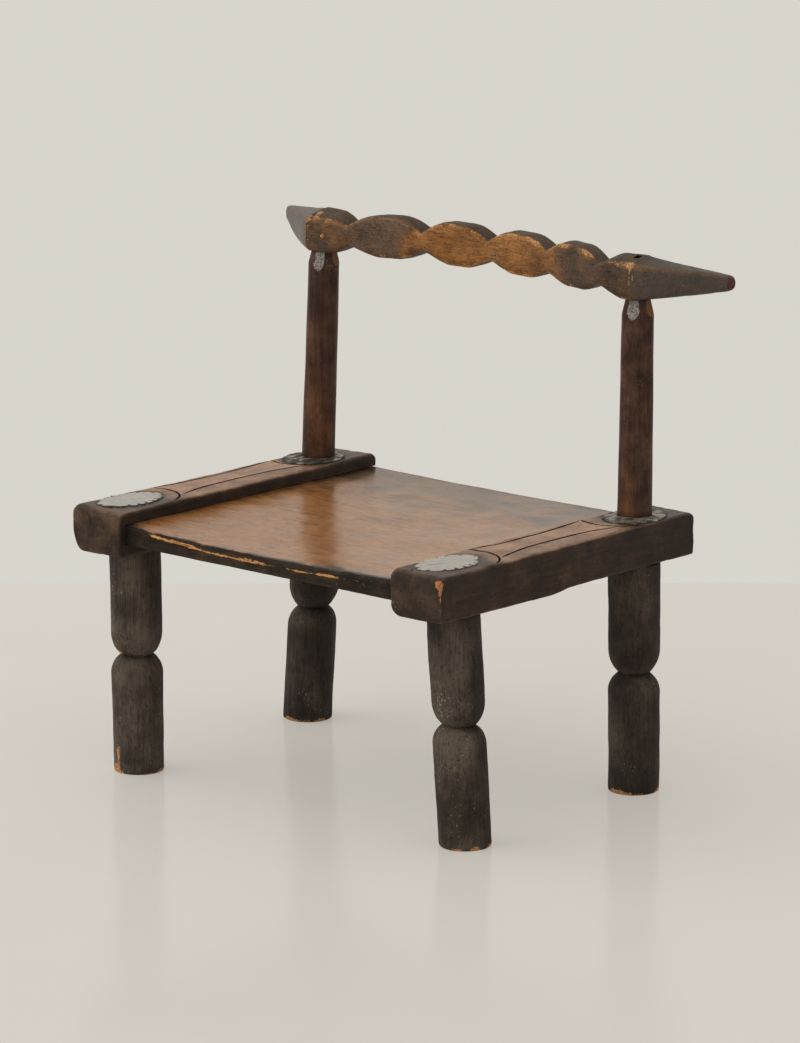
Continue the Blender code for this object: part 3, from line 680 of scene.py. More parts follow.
PIN_WOOD = plain_wood("pin_wood", 2, ((0.008, 0.006, 0.005), (0.02, 0.014, 0.010)),
                      ((0.05, 0.03, 0.02), (0.08, 0.05, 0.03)), (0.6, 0.8), 0.1, 73)
# Near-black walls for the incised lines, the crack, the pin's socket and the crease in the right cap: dirt,
# and painted shade in these cuts
DIRT_AND_SHADE_IN_CUTS = plain_wood("dirt_and_shade_in_cuts", 1, ((0.010, 0.006, 0.004), (0.026, 0.014, 0.009)),
                      ((0.04, 0.02, 0.01), (0.08, 0.04, 0.02)), (0.6, 0.8), 0.05, 79)
SHEET_METAL = sheet_metal("sheet_metal", (0.46, 0.44, 0.40), (0.62, 0.595, 0.55), 0.8, 0.0011)
DIRTY_METAL = sheet_metal("dirty_metal", (0.16, 0.138, 0.11), (0.40, 0.365, 0.32), 0.5, 0.0006)


# Rails

def round_over(distance, radius):
    """How far an edge of the given radius has pulled in, at a distance from the end of the piece."""
    left = radius - np.minimum(distance, radius)
    return radius - np.sqrt(radius * radius - left * left)


def rounded_section(low, high, rounds, arc_steps, edge_steps):
    """Points round a rectangle with a round-over of its own, (across, up), on each corner.

    Corners and the edges that follow them run anticlockwise from the lower left.
    """
    corners = ((low[0], low[1], 180), (high[0], low[1], 270), (high[0], high[1], 0), (low[0], high[1], 90))
    loop = []
    for (x, z, start), (across, up) in zip(corners, rounds):
        cx = x + across if x == low[0] else x - across
        cz = z + up if z == low[1] else z - up
        turn = np.radians(start + np.linspace(0, 90, arc_steps))
        loop.append(columns_of(cx + across * np.cos(turn), cz + up * np.sin(turn)))
    points = []
    for i, arc in enumerate(loop):
        following = loop[(i + 1) % 4][0]
        share = np.linspace(0, 1, edge_steps[i] + 2)[1:-1, None]
        points.extend([arc, between(arc[-1], following, share)])
    return np.concatenate(points)


def stations(low, high, near_ends, step):
    """Places from low to high: the given distances at both ends, and even steps between them."""
    near = np.array(near_ends)
    count = int((high - low - 2 * near[-1]) / step) + 2
    return np.concatenate([low + near[:-1], np.linspace(low + near[-1], high - near[-1], count),
                           (high - near[:-1])[::-1]])


def disc_centre(sign, end):
    """Middle of a disc: a cap at the front end (-1), a collar round the post at the rear end (1)."""
    shift = CAP_SHIFT if end < 0 else COLLAR_SHIFT[sign]
    return np.array((sign * RAIL_X + shift[0], end * JOINT_Y + shift[1]))


def disc_share(points, sign, end):
    """Distance of each point from the middle of a disc, where the disc's rim counts as 1."""
    half = CAP_HALF if end < 0 else COLLAR_HALF
    x, y = disc_centre(sign, end)
    return np.hypot((points[:, 0] - x) / half[0], (points[:, 1] - y) / half[1])


def bed_discs(mesh, sign):
    """Flattens the top of a rail where the discs lie on it."""
    points = coordinates(mesh)
    for end in (-1, 1):
        limit = RAIL_TOP - GAP + BED_SLACK * smoothstep(disc_share(points, sign, end), 1.0, 1.25)
        points[:, 2] = np.minimum(points[:, 2], limit)
    place(mesh, points)


def rail_blank(sign):
    low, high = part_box("left_rail" if sign < 0 else "right_rail")
    rounds = (RAIL_WORN_ROUND[sign], RAIL_CRISP_ROUND, RAIL_TOP_ROUND, RAIL_TOP_ROUND)
    undercut = UNDERCUT_DEPTH if sign > 0 else 0
    rings = []
    for y in stations(low.y, high.y, RAIL_END_STATIONS, RAIL_STEP):
        front, rear = y - low.y, high.y - y
        ends = round_over(min(front, rear), RAIL_END_ROUND)
        crown = max(round_over(front, RAIL_FRONT_ROUND), round_over(rear, RAIL_REAR_ROUND))
        lift = undercut * smoothstep(y, UNDERCUT_START, UNDERCUT_START + UNDERCUT_RUN)
        corner_low = (low.x + ends, low.z + ends + lift)
        corner_high = (high.x - ends, high.z - crown)
        section = rounded_section(corner_low, corner_high, rounds, 9, (12, 10, 20, 6))
        rings.append(columns_of(section[:, 0], y, section[:, 1]))
    return skin(ended(np.array(rings), (0.9, 0.75, 0.55, 0.35, 0.15)))


def arc_path(sign, end, spread=75, steps=48):
    """An incised arc round the disc at the front (-1) or rear (1) end of a rail."""
    turn = np.radians(np.linspace(-spread, spread, steps))
    x = sign * RAIL_X - ARC_CENTRE_LEFT + ARC_RADIUS * np.sin(turn)
    y = end * (ARC_CENTRE_Y - ARC_RADIUS * np.cos(turn)) + (REAR_ARC_SHIFT[sign] if end > 0 else 0)
    inside = np.abs(x - sign * RAIL_X) < RAIL_HALF - LINE_MARGIN
    return columns_of(x, y, RAIL_TOP)[inside]


def line_share(sign, y):
    """0 where the long incised lines lie closest together, 1 at their ends."""
    reach = LINE_HALF_LENGTH + np.where(y > 0, REAR_ARC_SHIFT[sign], 0)
    return np.clip(np.abs(y) / reach, 0, 1.2) ** 2.6


def bowed_path(sign, at_ends, at_bow, steps=60):
    """A long incised line, as its distance from the rail's left edge at its ends and at mid length."""
    y = np.linspace(-LINE_HALF_LENGTH, LINE_HALF_LENGTH + REAR_ARC_SHIFT[sign], steps)
    share = line_share(sign, y)
    x = sign * RAIL_X - RAIL_HALF + between(at_bow, at_ends, share)
    return columns_of(x, y, RAIL_TOP)


def panel_mask(points, sign):
    """1 inside the waisted panel between the incised lines, 0 outside it."""
    x, y, z = points.T
    from_left = x - (sign * RAIL_X - RAIL_HALF)
    share = line_share(sign, y)
    left = from_left - between(LEFT_LINE_BOW, LEFT_LINE_END, share)
    right = between(RIGHT_LINE_BOW, RIGHT_LINE_END, share) - from_left
    across = np.abs(from_left - (RAIL_HALF - ARC_CENTRE_LEFT))
    arc = ARC_RADIUS * np.sqrt(np.clip(1 - (across / ARC_RADIUS) ** 2, 0, 1))
    ends = ARC_CENTRE_Y - arc - np.maximum(-y, y - REAR_ARC_SHIFT[sign])
    inside = np.minimum(np.minimum(left, right), ends)
    return smoothstep(inside, -PANEL_BLUR, PANEL_BLUR) * (z > RAIL_TOP - PANEL_SKIN)


def rail_cutters(sign):
    """Bars that cut a rail's mortises, groove and incised lines."""
    x = sign * RAIL_X
    cutters = []
    for y in (-JOINT_Y, JOINT_Y):
        low, high = (x, y, RAIL_BOTTOM - OVERRUN), (x, y, RAIL_TOP + OVERRUN)
        cutters.append(rod(low, high, TENON_RADIUS + GAP))
    inner, outer = sign * (RAIL_INNER_X - OVERRUN), sign * (RAIL_INNER_X + GROOVE_DEPTH + GAP)
    low = (min(inner, outer), SEAT_LOW.y - GROOVE_END_GAP, SEAT_LOW.z - GAP)
    high = (max(inner, outer), RAIL_HIGH.y + OVERRUN, SEAT_HIGH.z + GAP)
    cutters.append(block(low, high))
    paths = [arc_path(sign, -1), arc_path(sign, 1), bowed_path(sign, LEFT_LINE_END, LEFT_LINE_BOW),
             bowed_path(sign, RIGHT_LINE_END, RIGHT_LINE_BOW)]
    lines = [scribe(path, LINE_WIDTH, LINE_DEPTH) for path in paths]
    if sign > 0:
        crack = [(x + right, RAIL_LOW.y + behind, RAIL_TOP - below) for right, behind, below in CRACK]
        lines.append(scribe(crack, CRACK_WIDTH, CRACK_WIDTH))
    # The walls of the lines and the crack take the near-black cut material: dirt and painted shade
    for line in lines:
        line.materials.append(DIRT_AND_SHADE_IN_CUTS)
    return cutters + lines


def front_chip(points):
    """1 on the bare chip at the outer front corner of the right rail, which narrows downwards."""
    drop = RAIL_TOP - points[:, 2]
    chip = CHIP_WIDTH * np.clip(1 - drop / CHIP_HEIGHT, 0, 1) ** 1.8
    split = SPLIT_WIDTH * np.clip(1 - drop / SPLIT_HEIGHT, 0, 1) ** 0.5
    off = np.hypot(RAIL_HIGH.x - points[:, 0], 3 * (points[:, 1] - RAIL_LOW.y))
    ragged = 0.0016 * wobble(points, 0.006, 131)
    return smoothstep(off + ragged - chip - split, 0.0012, -0.0008) * smoothstep(drop, 0.0015, 0.004)


def paint_rail(mesh, sign):
    """A browner top between the discs, most of all inside the panel, a darker ring round the discs, painted
    light on the front end faces and painted shade on the faces turned to the right.
    """
    points, normals = coordinates(mesh), normals_of(mesh)
    y = points[:, 1]
    edge = smoothstep(curvature(mesh), 25, 140)
    upward = smoothstep(normals[:, 2], 0.5, 0.95)
    ahead = smoothstep(-normals[:, 1], 0.6, 0.95)
    painted_shade_right = smoothstep(normals[:, 0], 0.6, 0.95)
    middle = smoothstep(np.abs(y), 0.125, 0.085)
    tone = upward * (0.18 + 0.36 * middle) + 0.2 * panel_mask(points, sign) + 0.15 * edge
    # Painted light: the front end faces are lighter, most of all on the left rail
    tone += (0.15 if sign < 0 else 0.02) * ahead
    wear = 0.12 + 0.16 * edge
    grime = sum(0.7 * smoothstep(disc_share(points, sign, end), 1.14, 1.02) for end in (-1, 1)) * upward
    # Painted shade: faces turned to the right, away from the lamp, are darker; on the right rail more so
    # towards its rear
    grime += painted_shade_right * (0.25 if sign < 0 else 0.45 * smoothstep(y, 0.0, 0.17))
    if sign > 0:
        wear += 0.6 * front_chip(points)
    paint(mesh, tone=tone, wear=wear, grime=grime, polish=upward)


def build_rail(side, sign):
    blank = rail_blank(sign)
    roughen(blank, RAIL_ROUGHNESS, 100 + sign)
    bed_discs(blank, sign)
    blank.materials.append(RAIL_WOOD)
    mesh = cut(blank, rail_cutters(sign))
    paint_rail(mesh, sign)
    add_piece(f"{side}_rail", mesh, RAIL_WOOD)


# Seat board

def seat_top(x, y):
    """Height of the dished top."""
    back = np.clip((y - SEAT_LOW.y) / (SEAT_HIGH.y - SEAT_LOW.y), 0, 1)
    dish = between(SEAT_FRONT_DISH, SEAT_REAR_DISH, back)
    return SEAT_HIGH.z - dish * np.clip(1 - (x / SEAT_HIGH.x) ** 2, 0, 1)


def front_fall(x):
    """How far the worn front arris lies under the top: little at the left, more towards the middle."""
    return between(SEAT_LEFT_FALL, SEAT_MIDDLE_FALL, smoothstep(x, -0.165, -0.04))


def seat_section(x):
    """The board cut across at x, from the rear over the top, down the worn front edge and back below."""
    front, rear, bottom = SEAT_LOW.y, SEAT_HIGH.y, SEAT_LOW.z
    top_y = np.linspace(rear - SEAT_EDGE_ROUND, front + SEAT_SLOPE_RUN, 60)
    turn = np.linspace(0, SEAT_SLOPE_TURN, 12)[1:]
    crest = seat_top(x, front + SEAT_SLOPE_RUN)
    slope_y = front + SEAT_SLOPE_RUN * (1 - np.sin(turn) / math.sin(SEAT_SLOPE_TURN))
    slope_z = crest - front_fall(x) * (1 - np.cos(turn)) / (1 - math.cos(SEAT_SLOPE_TURN))
    face_z = np.linspace(slope_z[-1], bottom + SEAT_EDGE_ROUND, 16)[1:]
    under_y = np.linspace(front + SEAT_EDGE_ROUND, rear - SEAT_EDGE_ROUND, 40)
    back_z = np.linspace(bottom + SEAT_EDGE_ROUND, seat_top(x, rear) - SEAT_EDGE_ROUND, 8)
    stretches = ((top_y, seat_top(x, top_y)), (slope_y, slope_z), (front, face_z), (under_y, bottom),
                 (rear, back_z))
    return np.concatenate([columns_of(x, y, z) for y, z in stretches])


def paint_seat(mesh):
    """A polished brown top, darker at the rear, with painted shadow of the rails beside them and a dark
    stained front edge.
    """
    points, normals = coordinates(mesh), normals_of(mesh)
    x, y, z = points.T
    from_front = y - SEAT_LOW.y
    coarse, fine = wobble(points, 0.05, 211), wobble(points, 0.012, 212)
    band = between(STAIN_LEFT, STAIN_MIDDLE, smoothstep(x, -0.12, -0.03))
    stained = smoothstep(from_front + 0.0025 * coarse + 0.001 * fine - band, 0.0025, -0.0015)
    # Painted shadow of the rails, on the board beside them
    painted_rail_shadow = smoothstep(np.abs(x), RAIL_INNER_X - 0.018, RAIL_INNER_X - 0.001)
    below = smoothstep(normals[:, 2], 0.5, 0.1)
    rear = smoothstep(y, -0.10, 0.08)
    hindmost = smoothstep(y + 0.02 * coarse, 0.045, 0.165)
    front_right = smoothstep(x, -0.02, 0.12) * smoothstep(from_front, 0.10, 0.01)
    tone = 0.95 - 0.9 * np.maximum(stained, below) - 0.3 * painted_rail_shadow - 0.26 * rear
    tone -= 0.34 * hindmost + 0.45 * front_right
    thick = 0.0008 + 0.0007 * wobble(points, 0.05, 214) + 0.0004 * fine
    off = np.abs(seat_top(x, y) - z - front_fall(x) - 0.0004 * coarse)
    arris = smoothstep(off, thick + 0.0005, thick - 0.0005) * smoothstep(from_front, 0.004, 0.002)
    along = smoothstep(x, -0.165, -0.145) * smoothstep(x, 0.155, 0.12)
    above = smoothstep(normals[:, 2], 0.9, 0.98)
    corner = smoothstep(x, -0.150, -0.178) * smoothstep(from_front, 0.012, 0.004)
    # The painted rail shadow again on the top faces, and a darker front left corner
    grime = 0.3 * painted_rail_shadow * above + 0.5 * corner
    paint(mesh, tone=tone, wear=0.1 + 0.58 * arris * along, grime=grime, polish=above * (1 - stained))


def build_seat():
    xs = stations(SEAT_LOW.x, SEAT_HIGH.x, (0, 0.001, 0.004), 0.0030)
    mesh = skin(np.array([seat_section(x) for x in xs]))
    roughen(mesh, SEAT_ROUGHNESS, 201)
    paint_seat(mesh)
    mesh.materials.append(SEAT_WOOD)
    mesh.materials.append(SEAT_EDGE_WOOD)
    for face in mesh.polygons:
        face.material_index = int(face.normal.z < 0.9)
    add_piece("seat_board", mesh, SEAT_WOOD)


# Legs and posts

def turned(profile, columns, centre_line, reshape=None):
    """A solid of revolution from (radius, height) points about a leaning line."""
    turn = full_turn(columns)
    rings = []
    for radius, z in profile:
        reach = reshape(radius, z, turn) if reshape else radius
        x, y = centre_line(z)
        rings.append(columns_of(x + reach * np.cos(turn), y + reach * np.sin(turn), z))
    return skin(np.array(rings))


def straight(start, end, steps):
    """Points of a turned profile, (radius, height), that lead from the start to the end."""
    start, end = np.array(start), np.array(end)
    return [tuple(between(start, end, share)) for share in np.linspace(0, 1, steps)]


def leg_profile(tenon_top):
    waist, full = LEG_WAIST_RADIUS, LEG_RADIUS
    turn = np.linspace(0, LEG_ROUND_TURN, 16)
    inward = full - (full - waist) * (1 - np.cos(turn)) / (1 - math.cos(LEG_ROUND_TURN))
    climb = np.sin(turn) / math.sin(LEG_ROUND_TURN)
    lower_z = LEG_WAIST_HEIGHT - LEG_LOWER_ROUND
    upper_z = LEG_WAIST_HEIGHT + LEG_UPPER_ROUND
    profile = [(LEG_FOOT_RADIUS * share, 0.0) for share in (0.15, 0.4, 0.65, 0.85)]
    for t in np.radians((0, 30, 60, 90)):
        inset, rise = LEG_FOOT_BEVEL * (1 - math.sin(t)), LEG_FOOT_BEVEL * (1 - math.cos(t))
        profile.append((LEG_FOOT_RADIUS - inset, rise))
    profile += straight((LEG_FOOT_RADIUS, LEG_FOOT_BEVEL), (full, lower_z), 36)[1:]
    profile += [(r, between(lower_z, LEG_WAIST_HEIGHT, s)) for r, s in zip(inward[1:], climb[1:])]
    profile += [(r, between(upper_z, LEG_WAIST_HEIGHT, s)) for r, s in zip(inward[-2::-1], climb[-2::-1])]
    profile += straight((full, upper_z), (full, RAIL_BOTTOM), 34)[1:]
    profile += [(TENON_RADIUS, RAIL_BOTTOM), (TENON_RADIUS, tenon_top)]
    return profile


def paint_leg(mesh, corner, seed):
    """Blotchy stain, a darker line in the waist, painted shade on the side turned away from the lamp, and
    bare wood where the foot is chipped.
    """
    points, normals = coordinates(mesh), normals_of(mesh)
    stretched = points / (1, 1, 2)
    height = points[:, 2]
    turn = np.arctan2(normals[:, 1], normals[:, 0])
    ragged = wobble(stretched, 0.02, seed + 8)
    tone = LEG_TONES[corner] + 0.22 * wobble(stretched, 0.05, seed + 6)
    # Lighter just under the waist; painted shade darkens the side turned to the right, away from the lamp
    tone += 0.2 * hump(height, LEG_WAIST_HEIGHT - 0.012, 0.012) - 0.2 * hump(turn, LEG_PAINTED_SHADE_TURN, 0.6)
    chip = 0.64 * smoothstep(height, 0.0034, 0.0018) * (0.88 + 0.35 * ragged) * (height > FOOT_BAND / 2)
    chip *= FOOT_WEAR[corner]
    chip += 0.3 * smoothstep(height, 0.016, 0.002) * ragged
    if corner == "front_left":
        chip += 0.75 * hump(turn, LEG_SCAR_TURN, 0.13) * hump(height, LEG_WAIST_HEIGHT + 0.0035, 0.0040)
        chip += 0.6 * hump(turn, LEG_SCAR_TURN, 0.09) * smoothstep(height, 0.036, 0.024)
        chip += 0.4 * hump(turn, FOOT_SCUFF_TURN, 0.18) * smoothstep(height, 0.016, 0.004)
    grime = 0.4 * hump(height, LEG_WAIST_HEIGHT, 0.003)
    paint(mesh, tone=tone, wear=0.1 + chip, grime=grime, polish=0.0)


def build_leg(corner, number):
    right, back = FOOT_OFFSETS[corner]
    x = RAIL_X * (1 if "right" in corner else -1)
    y = JOINT_Y * (1 if "rear" in corner else -1)
    tenon_top = RAIL_TOP - FRONT_TENON_SHY if "front" in corner else RAIL_BOTTOM + REAR_LEG_TENON

    def centre_line(z):
        share = max(0.0, 1 - z / RAIL_BOTTOM)
        return x + right * share, y + back * share

    mesh = turned(leg_profile(tenon_top), 84, centre_line)
    seed = 300 + 10 * number
    roughen(mesh, LEG_ROUGHNESS, seed, seed_step=2, heights=(FOOT_BAND, RAIL_BOTTOM - JOINT_BAND))
    paint_leg(mesh, corner, seed)
    add_piece(f"leg_{corner}", mesh, LEG_WOOD)


def post_profile():
    neck_z = CREST_BOTTOM - WHITTLE_LENGTH
    tenon_low = RAIL_BOTTOM + REAR_LEG_TENON + 2 * GAP
    profile = [(TENON_RADIUS, tenon_low), (TENON_RADIUS, RAIL_TOP)]
    profile += straight((POST_BASE_RADIUS, RAIL_TOP), (POST_NECK_RADIUS, neck_z), 70)
    profile += straight((POST_NECK_RADIUS, neck_z), (POST_NECK_RADIUS, CREST_BOTTOM), 26)[1:]
    profile += [(CREST_TENON_RADIUS, CREST_BOTTOM), (CREST_TENON_RADIUS, CREST_BOTTOM + CREST_TENON_LENGTH)]
    return profile


def build_post(side, sign):
    random = np.random.default_rng(400 + sign)
    start = WHITTLE_START + np.arange(WHITTLE_SIDES) * 2 * np.pi / WHITTLE_SIDES
    start[1:] += random.uniform(-0.1, 0.1, WHITTLE_SIDES - 1)
    length = WHITTLE_LENGTH * random.uniform(0.75, 1.0, WHITTLE_SIDES)
    length[0] = SILVER_LENGTH
    depth = (POST_NECK_RADIUS - POST_TOP_RADIUS) * random.uniform(1.05, 1.5, WHITTLE_SIDES)

    def centre_line(z):
        share = np.clip((z - RAIL_TOP) / (CREST_BOTTOM - RAIL_TOP), 0, 1)
        return sign * (RAIL_X - POST_LEAN_IN * share), JOINT_Y + POST_LEAN_BACK * share

    def facet_reach(number, z, turn):
        share = (z - (CREST_BOTTOM - length[number])) / length[number]
        level = POST_NECK_RADIUS + WHITTLE_LIFT - (depth[number] + WHITTLE_LIFT) * share
        return np.where(share > 0, level / np.maximum(np.cos(turn - start[number]), 0.3), 1.0)

    def whittled(radius, z, turn):
        if z > CREST_BOTTOM or radius < POST_TOP_RADIUS + 0.0005:
            return radius
        faces = [facet_reach(number, z, turn) for number in range(WHITTLE_SIDES)]
        return np.minimum(radius, np.min(faces, axis=0))

    mesh = turned(post_profile(), 96, centre_line, whittled)
    x, y, rise = coordinates(mesh).T
    heights = (RAIL_TOP + JOINT_BAND, CREST_BOTTOM - JOINT_BAND)
    roughen(mesh, POST_ROUGHNESS, 410 + sign, seed_step=4, heights=heights)
    axis_x, axis_y = centre_line(rise)
    turn = np.arctan2(y - axis_y, x - axis_x)
    reach = np.hypot(x - axis_x, y - axis_y)
    silver, brown = (np.abs(reach - facet_reach(number, rise, turn)) < 0.00004 for number in (0, 2))
    neck_z = CREST_BOTTOM - WHITTLE_LENGTH
    blotches = wobble(coordinates(mesh) / (1, 1, 5), 0.035, 420 + sign)
    # Painted highlight: each post is lighter round one turn about its axis, on its front
    tone = POST_TONES[sign] + 0.2 * blotches + 0.25 * hump(turn, POST_PAINTED_HIGHLIGHT_TURNS[sign], 0.4)
    tone += 0.95 * brown - 0.15 * smoothstep(rise, neck_z, neck_z + 0.003)
    grime = 0.8 * smoothstep(rise, RAIL_TOP + 0.010, RAIL_TOP + 0.001)
    paint(mesh, tone=tone, wear=0.1 + 0.9 * silver, grime=grime, polish=0.6)
    add_piece(f"post_{side}", mesh, POST_WOOD)


# Crest rail

def notch_share(x, flank, fullness):
    """About 1 at the bottom of a notch between two lobes, 0 on top of a lobe or out on a block."""
    pitch = 2 * BAR_HALF / LOBE_COUNT
    number = min(max(round((x + BAR_HALF) / pitch), 0), LOBE_COUNT)
    nearest = number * pitch - BAR_HALF
    return NOTCH_DEPTHS[number] * max(0.0, 1 - abs(x - nearest) / flank) ** fullness


def scalloped(x, height, top_flank):
    """Bottom and top of the crest rail at x, where its lobes or blocks have the given height."""
    top = height / 2 - TOP_NOTCH * notch_share(x, top_flank, TOP_FULLNESS)
    low = height / 2 - LOWER_NOTCH * notch_share(x - LOWER_NOTCH_SHIFT, LOWER_FLANK, LOWER_FULLNESS)
    return CREST_MIDDLE - low, CREST_MIDDLE + top


def crest_section(x):
    """Front, back, bottom and top of the crest rail at x, its squareness, and its top's fall forwards."""
    sign = 1 if x > 0 else -1
    out = abs(x)
    if out <= BAR_HALF:
        front = -CREST_FRONT + CREST_BOW * (1 - (x / BAR_HALF) ** 2)
        bottom, top = scalloped(x, LOBE_HEIGHT, TOP_FLANK)
        return front, front + CREST_DEPTH, bottom, top, BAR_SQUARENESS, 0.0
    if out <= ARRIS_X:
        share = (out - BAR_HALF) / (ARRIS_X - BAR_HALF)
        rise = min((out - BAR_HALF) / BLOCK_INNER, 1)
        front = between(-CREST_FRONT, -BLOCK_FRONT, share)
        back = between(CREST_DEPTH - CREST_FRONT, BLOCK_BACK[sign], share)
        bottom, top = scalloped(x, between(LOBE_HEIGHT, CREST_HEIGHT, rise), BLOCK_FLANK)
        fall = BLOCK_TOP_FALL * (math.sqrt(share) + 1.3 * share * (1 - share))
        return front, back, bottom, top, BAR_SQUARENESS, fall
    share = (out - ARRIS_X) / (HORN_REACH - BLOCK_ARRIS)
    front = between(-BLOCK_FRONT, HORN_SWEEP - HORN_TIP_DEPTH / 2, share)
    back = between(BLOCK_BACK[sign], HORN_SWEEP + HORN_TIP_DEPTH / 2, share)
    top = between(CREST_HEIGHT, HORN_TIP_HEIGHT, share ** HORN_TOP_FULLNESS) / 2
    low = between(CREST_HEIGHT, HORN_TIP_DROP[sign], share ** HORN_LOWER_FULLNESS[sign]) / 2
    middle = CREST_MIDDLE + HORN_LIFT[sign] * share
    square = between(BAR_SQUARENESS, TIP_SQUARENESS, smoothstep(share, 0.45, 1.0))
    return front, back, middle - low, middle + top, square, BLOCK_TOP_FALL * max(0.0, 1 - share) ** 1.4


def crest_rings(columns=72):
    even = np.linspace(-HORN_TIP_X, HORN_TIP_X, 330)
    near_tip = HORN_TIP_X - HORN_TIP_ROUND * (1 - np.cos(np.radians((15, 30, 45, 60, 75))))
    near_arris = ARRIS_X + np.linspace(-0.004, 0.004, 17)
    xs = np.unique(np.concatenate([even, near_tip, -near_tip, near_arris, -near_arris]))
    turn = full_turn(columns) + np.pi / columns
    rings = []
    for x in xs:
        front, back, bottom, top, square, fall = crest_section(x)
        left = HORN_TIP_ROUND - min(HORN_TIP_X - abs(x), HORN_TIP_ROUND)
        shrink = 0.25 + 0.75 * math.sqrt(1 - (left / HORN_TIP_ROUND) ** 2)
        wide, tall = (back - front) / 2 * shrink, (top - bottom) / 2 * shrink
        power = 2 / square
        across = np.sign(np.cos(turn)) * np.abs(np.cos(turn)) ** power
        upright = np.sign(np.sin(turn)) * np.abs(np.sin(turn)) ** power
        y = POST_HEAD_Y + (front + back) / 2 + wide * across
        z = (bottom + top) / 2 + tall * upright - fall * (1 - across) / 2 * np.clip(upright, 0, 1)
        rings.append(columns_of(x, y, z))
    return ended(np.array(rings), (0.8, 0.55, 0.3, 0.1))


def crest_cutters():
    """Bars that cut the mortises of the posts, the pin's socket and the peg's bore."""
    cutters = []
    for _, sign in SIDES:
        low = np.array((sign * POST_HEAD_X, POST_HEAD_Y, CREST_BOTTOM - OVERRUN))
        high = (*low[:2], CREST_BOTTOM + CREST_TENON_LENGTH + GAP)
        cutters.append(rod(low, high, CREST_TENON_RADIUS + GAP))
    pin_low, pin_high = corners_of("crest_pin_right")
    socket = block(pin_low - GAP, pin_high + (GAP, GAP, OVERRUN))
    # The socket's walls take the near-black cut material: painted shade round the pin
    socket.materials.append(DIRT_AND_SHADE_IN_CUTS)
    front, axis = peg_place()
    bore = rod(front + OVERRUN * axis, front - (PEG_LENGTH + GAP) * axis, PEG_RADIUS + GAP)
    return [*cutters, socket, bore]


def paint_crest(mesh):
    """Dark tops and horns, an orange-brown middle, tan wood along the worn edges, a painted highlight along
    the upper front edge, and grey dust with a painted sheen on the first lobe.
    """
    points = coordinates(mesh)
    x = points[:, 0]
    front, back, bottom, top, _, fall = np.array([crest_section(value) for value in x]).T
    depth = (points[:, 1] - POST_HEAD_Y - front) / (back - front)
    level = (points[:, 2] - bottom) / (top - fall * (1 - depth) - bottom)
    broad, middling, small = (wobble(points, size, 510 + i) for i, size in enumerate((0.035, 0.014, 0.005)))
    ragged = 0.5 * broad + 0.35 * middling + 0.25 * small
    shifted = x + 0.012 * broad
    ahead = smoothstep(depth, *FRONT_FACE)
    on_top = smoothstep(level, *BLOCK_TOP_LEVEL)
    on_bar = smoothstep(np.abs(x), ARRIS_X + 0.003, ARRIS_X)
    central = smoothstep(x + 0.010 * broad, *TAN_LEFT) * smoothstep(shifted, *TAN_RIGHT)
    upper = smoothstep(depth, 0.32, 0.12) * smoothstep(level, 0.80, 0.98)
    lower = smoothstep(depth, 0.25, 0.10) * smoothstep(level, 0.20, 0.03)
    outer = between(0.22, 0.30, smoothstep(x, *LEFT_BLOCK_END))
    outer = between(outer, 0.07, smoothstep(x, *RIGHT_DARKENING))
    # Lighter along the upper front edge, as a painted highlight; on the bar, wear also bares that edge
    tone = ahead * (between(outer, 0.80, central) + 0.12 * broad) * on_bar + 0.3 * upper
    wear = 0.1 + on_bar * upper * (0.30 + 0.08 * smoothstep(x, -0.1, 0.0) + 0.30 * ragged)
    wear += on_bar * lower * (0.30 + 0.20 * central + 0.45 * ragged)
    line = smoothstep(np.abs(np.abs(x) - ARRIS_X + 0.0006) - 0.0016 * small, 0.0026, 0.0010)
    wear += (0.36 + 0.2 * small) * line * smoothstep(depth, 0.28, 0.12) * smoothstep(level, 0.18, 0.4)
    patch = 0.6 * hump(x, POST_HEAD_X - 0.014, 0.009) * smoothstep(depth, 0.36, 0.15) * on_top
    patch += 1.3 * hump(x, -ARRIS_X + 0.006, 0.008) * hump(depth, 0.33, 0.12) * on_top
    wear += patch * (0.42 + 0.4 * ragged)
    # Grey dust with a painted sheen on the first lobe from the left
    ashen = smoothstep(shifted, *DUST_SHEEN_LEFT) * smoothstep(shifted, *DUST_SHEEN_RIGHT)
    ash = ahead * ashen * (0.72 + 0.25 * middling)
    horn = smoothstep(np.abs(x), ARRIS_X, ARRIS_X + 0.02)
    paint(mesh, tone=tone, wear=wear, grime=0.0, polish=0.4 + 0.5 * horn, ash=ash)


def build_crest():
    blank = skin(crest_rings())
    roughen(blank, CREST_ROUGHNESS, 501)
    blank.materials.append(CREST_WOOD)
    mesh = cut(blank, crest_cutters())
    paint_crest(mesh)
    mesh.materials.append(HORN_WOOD)
    mesh.materials.append(HORN_END_WOOD)
    horn, horn_end = len(mesh.materials) - 2, len(mesh.materials) - 1
    for face in mesh.polygons:
        out = abs(face.center.x)
        if abs(face.normal.x) > 0.8 and out > HORN_TIP_X - HORN_END_SKIN:
            face.material_index = horn_end
        elif out > ARRIS_X:
            face.material_index = horn
    add_piece("crest_rail", mesh, CREST_WOOD)


def peg_place():
    """Middle of the peg's outer end, and the direction that it points."""
    low, high = corners_of("crest_peg_left")
    axis = np.array((math.sin(PEG_TURN), -math.cos(PEG_TURN), 0.0))
    x = high[0] - PEG_RADIUS * math.cos(PEG_TURN)
    y = low[1] + PEG_RADIUS * math.sin(PEG_TURN)
    return np.array((x, y, (low[2] + high[2]) / 2)) + PEG_SHIFT, axis


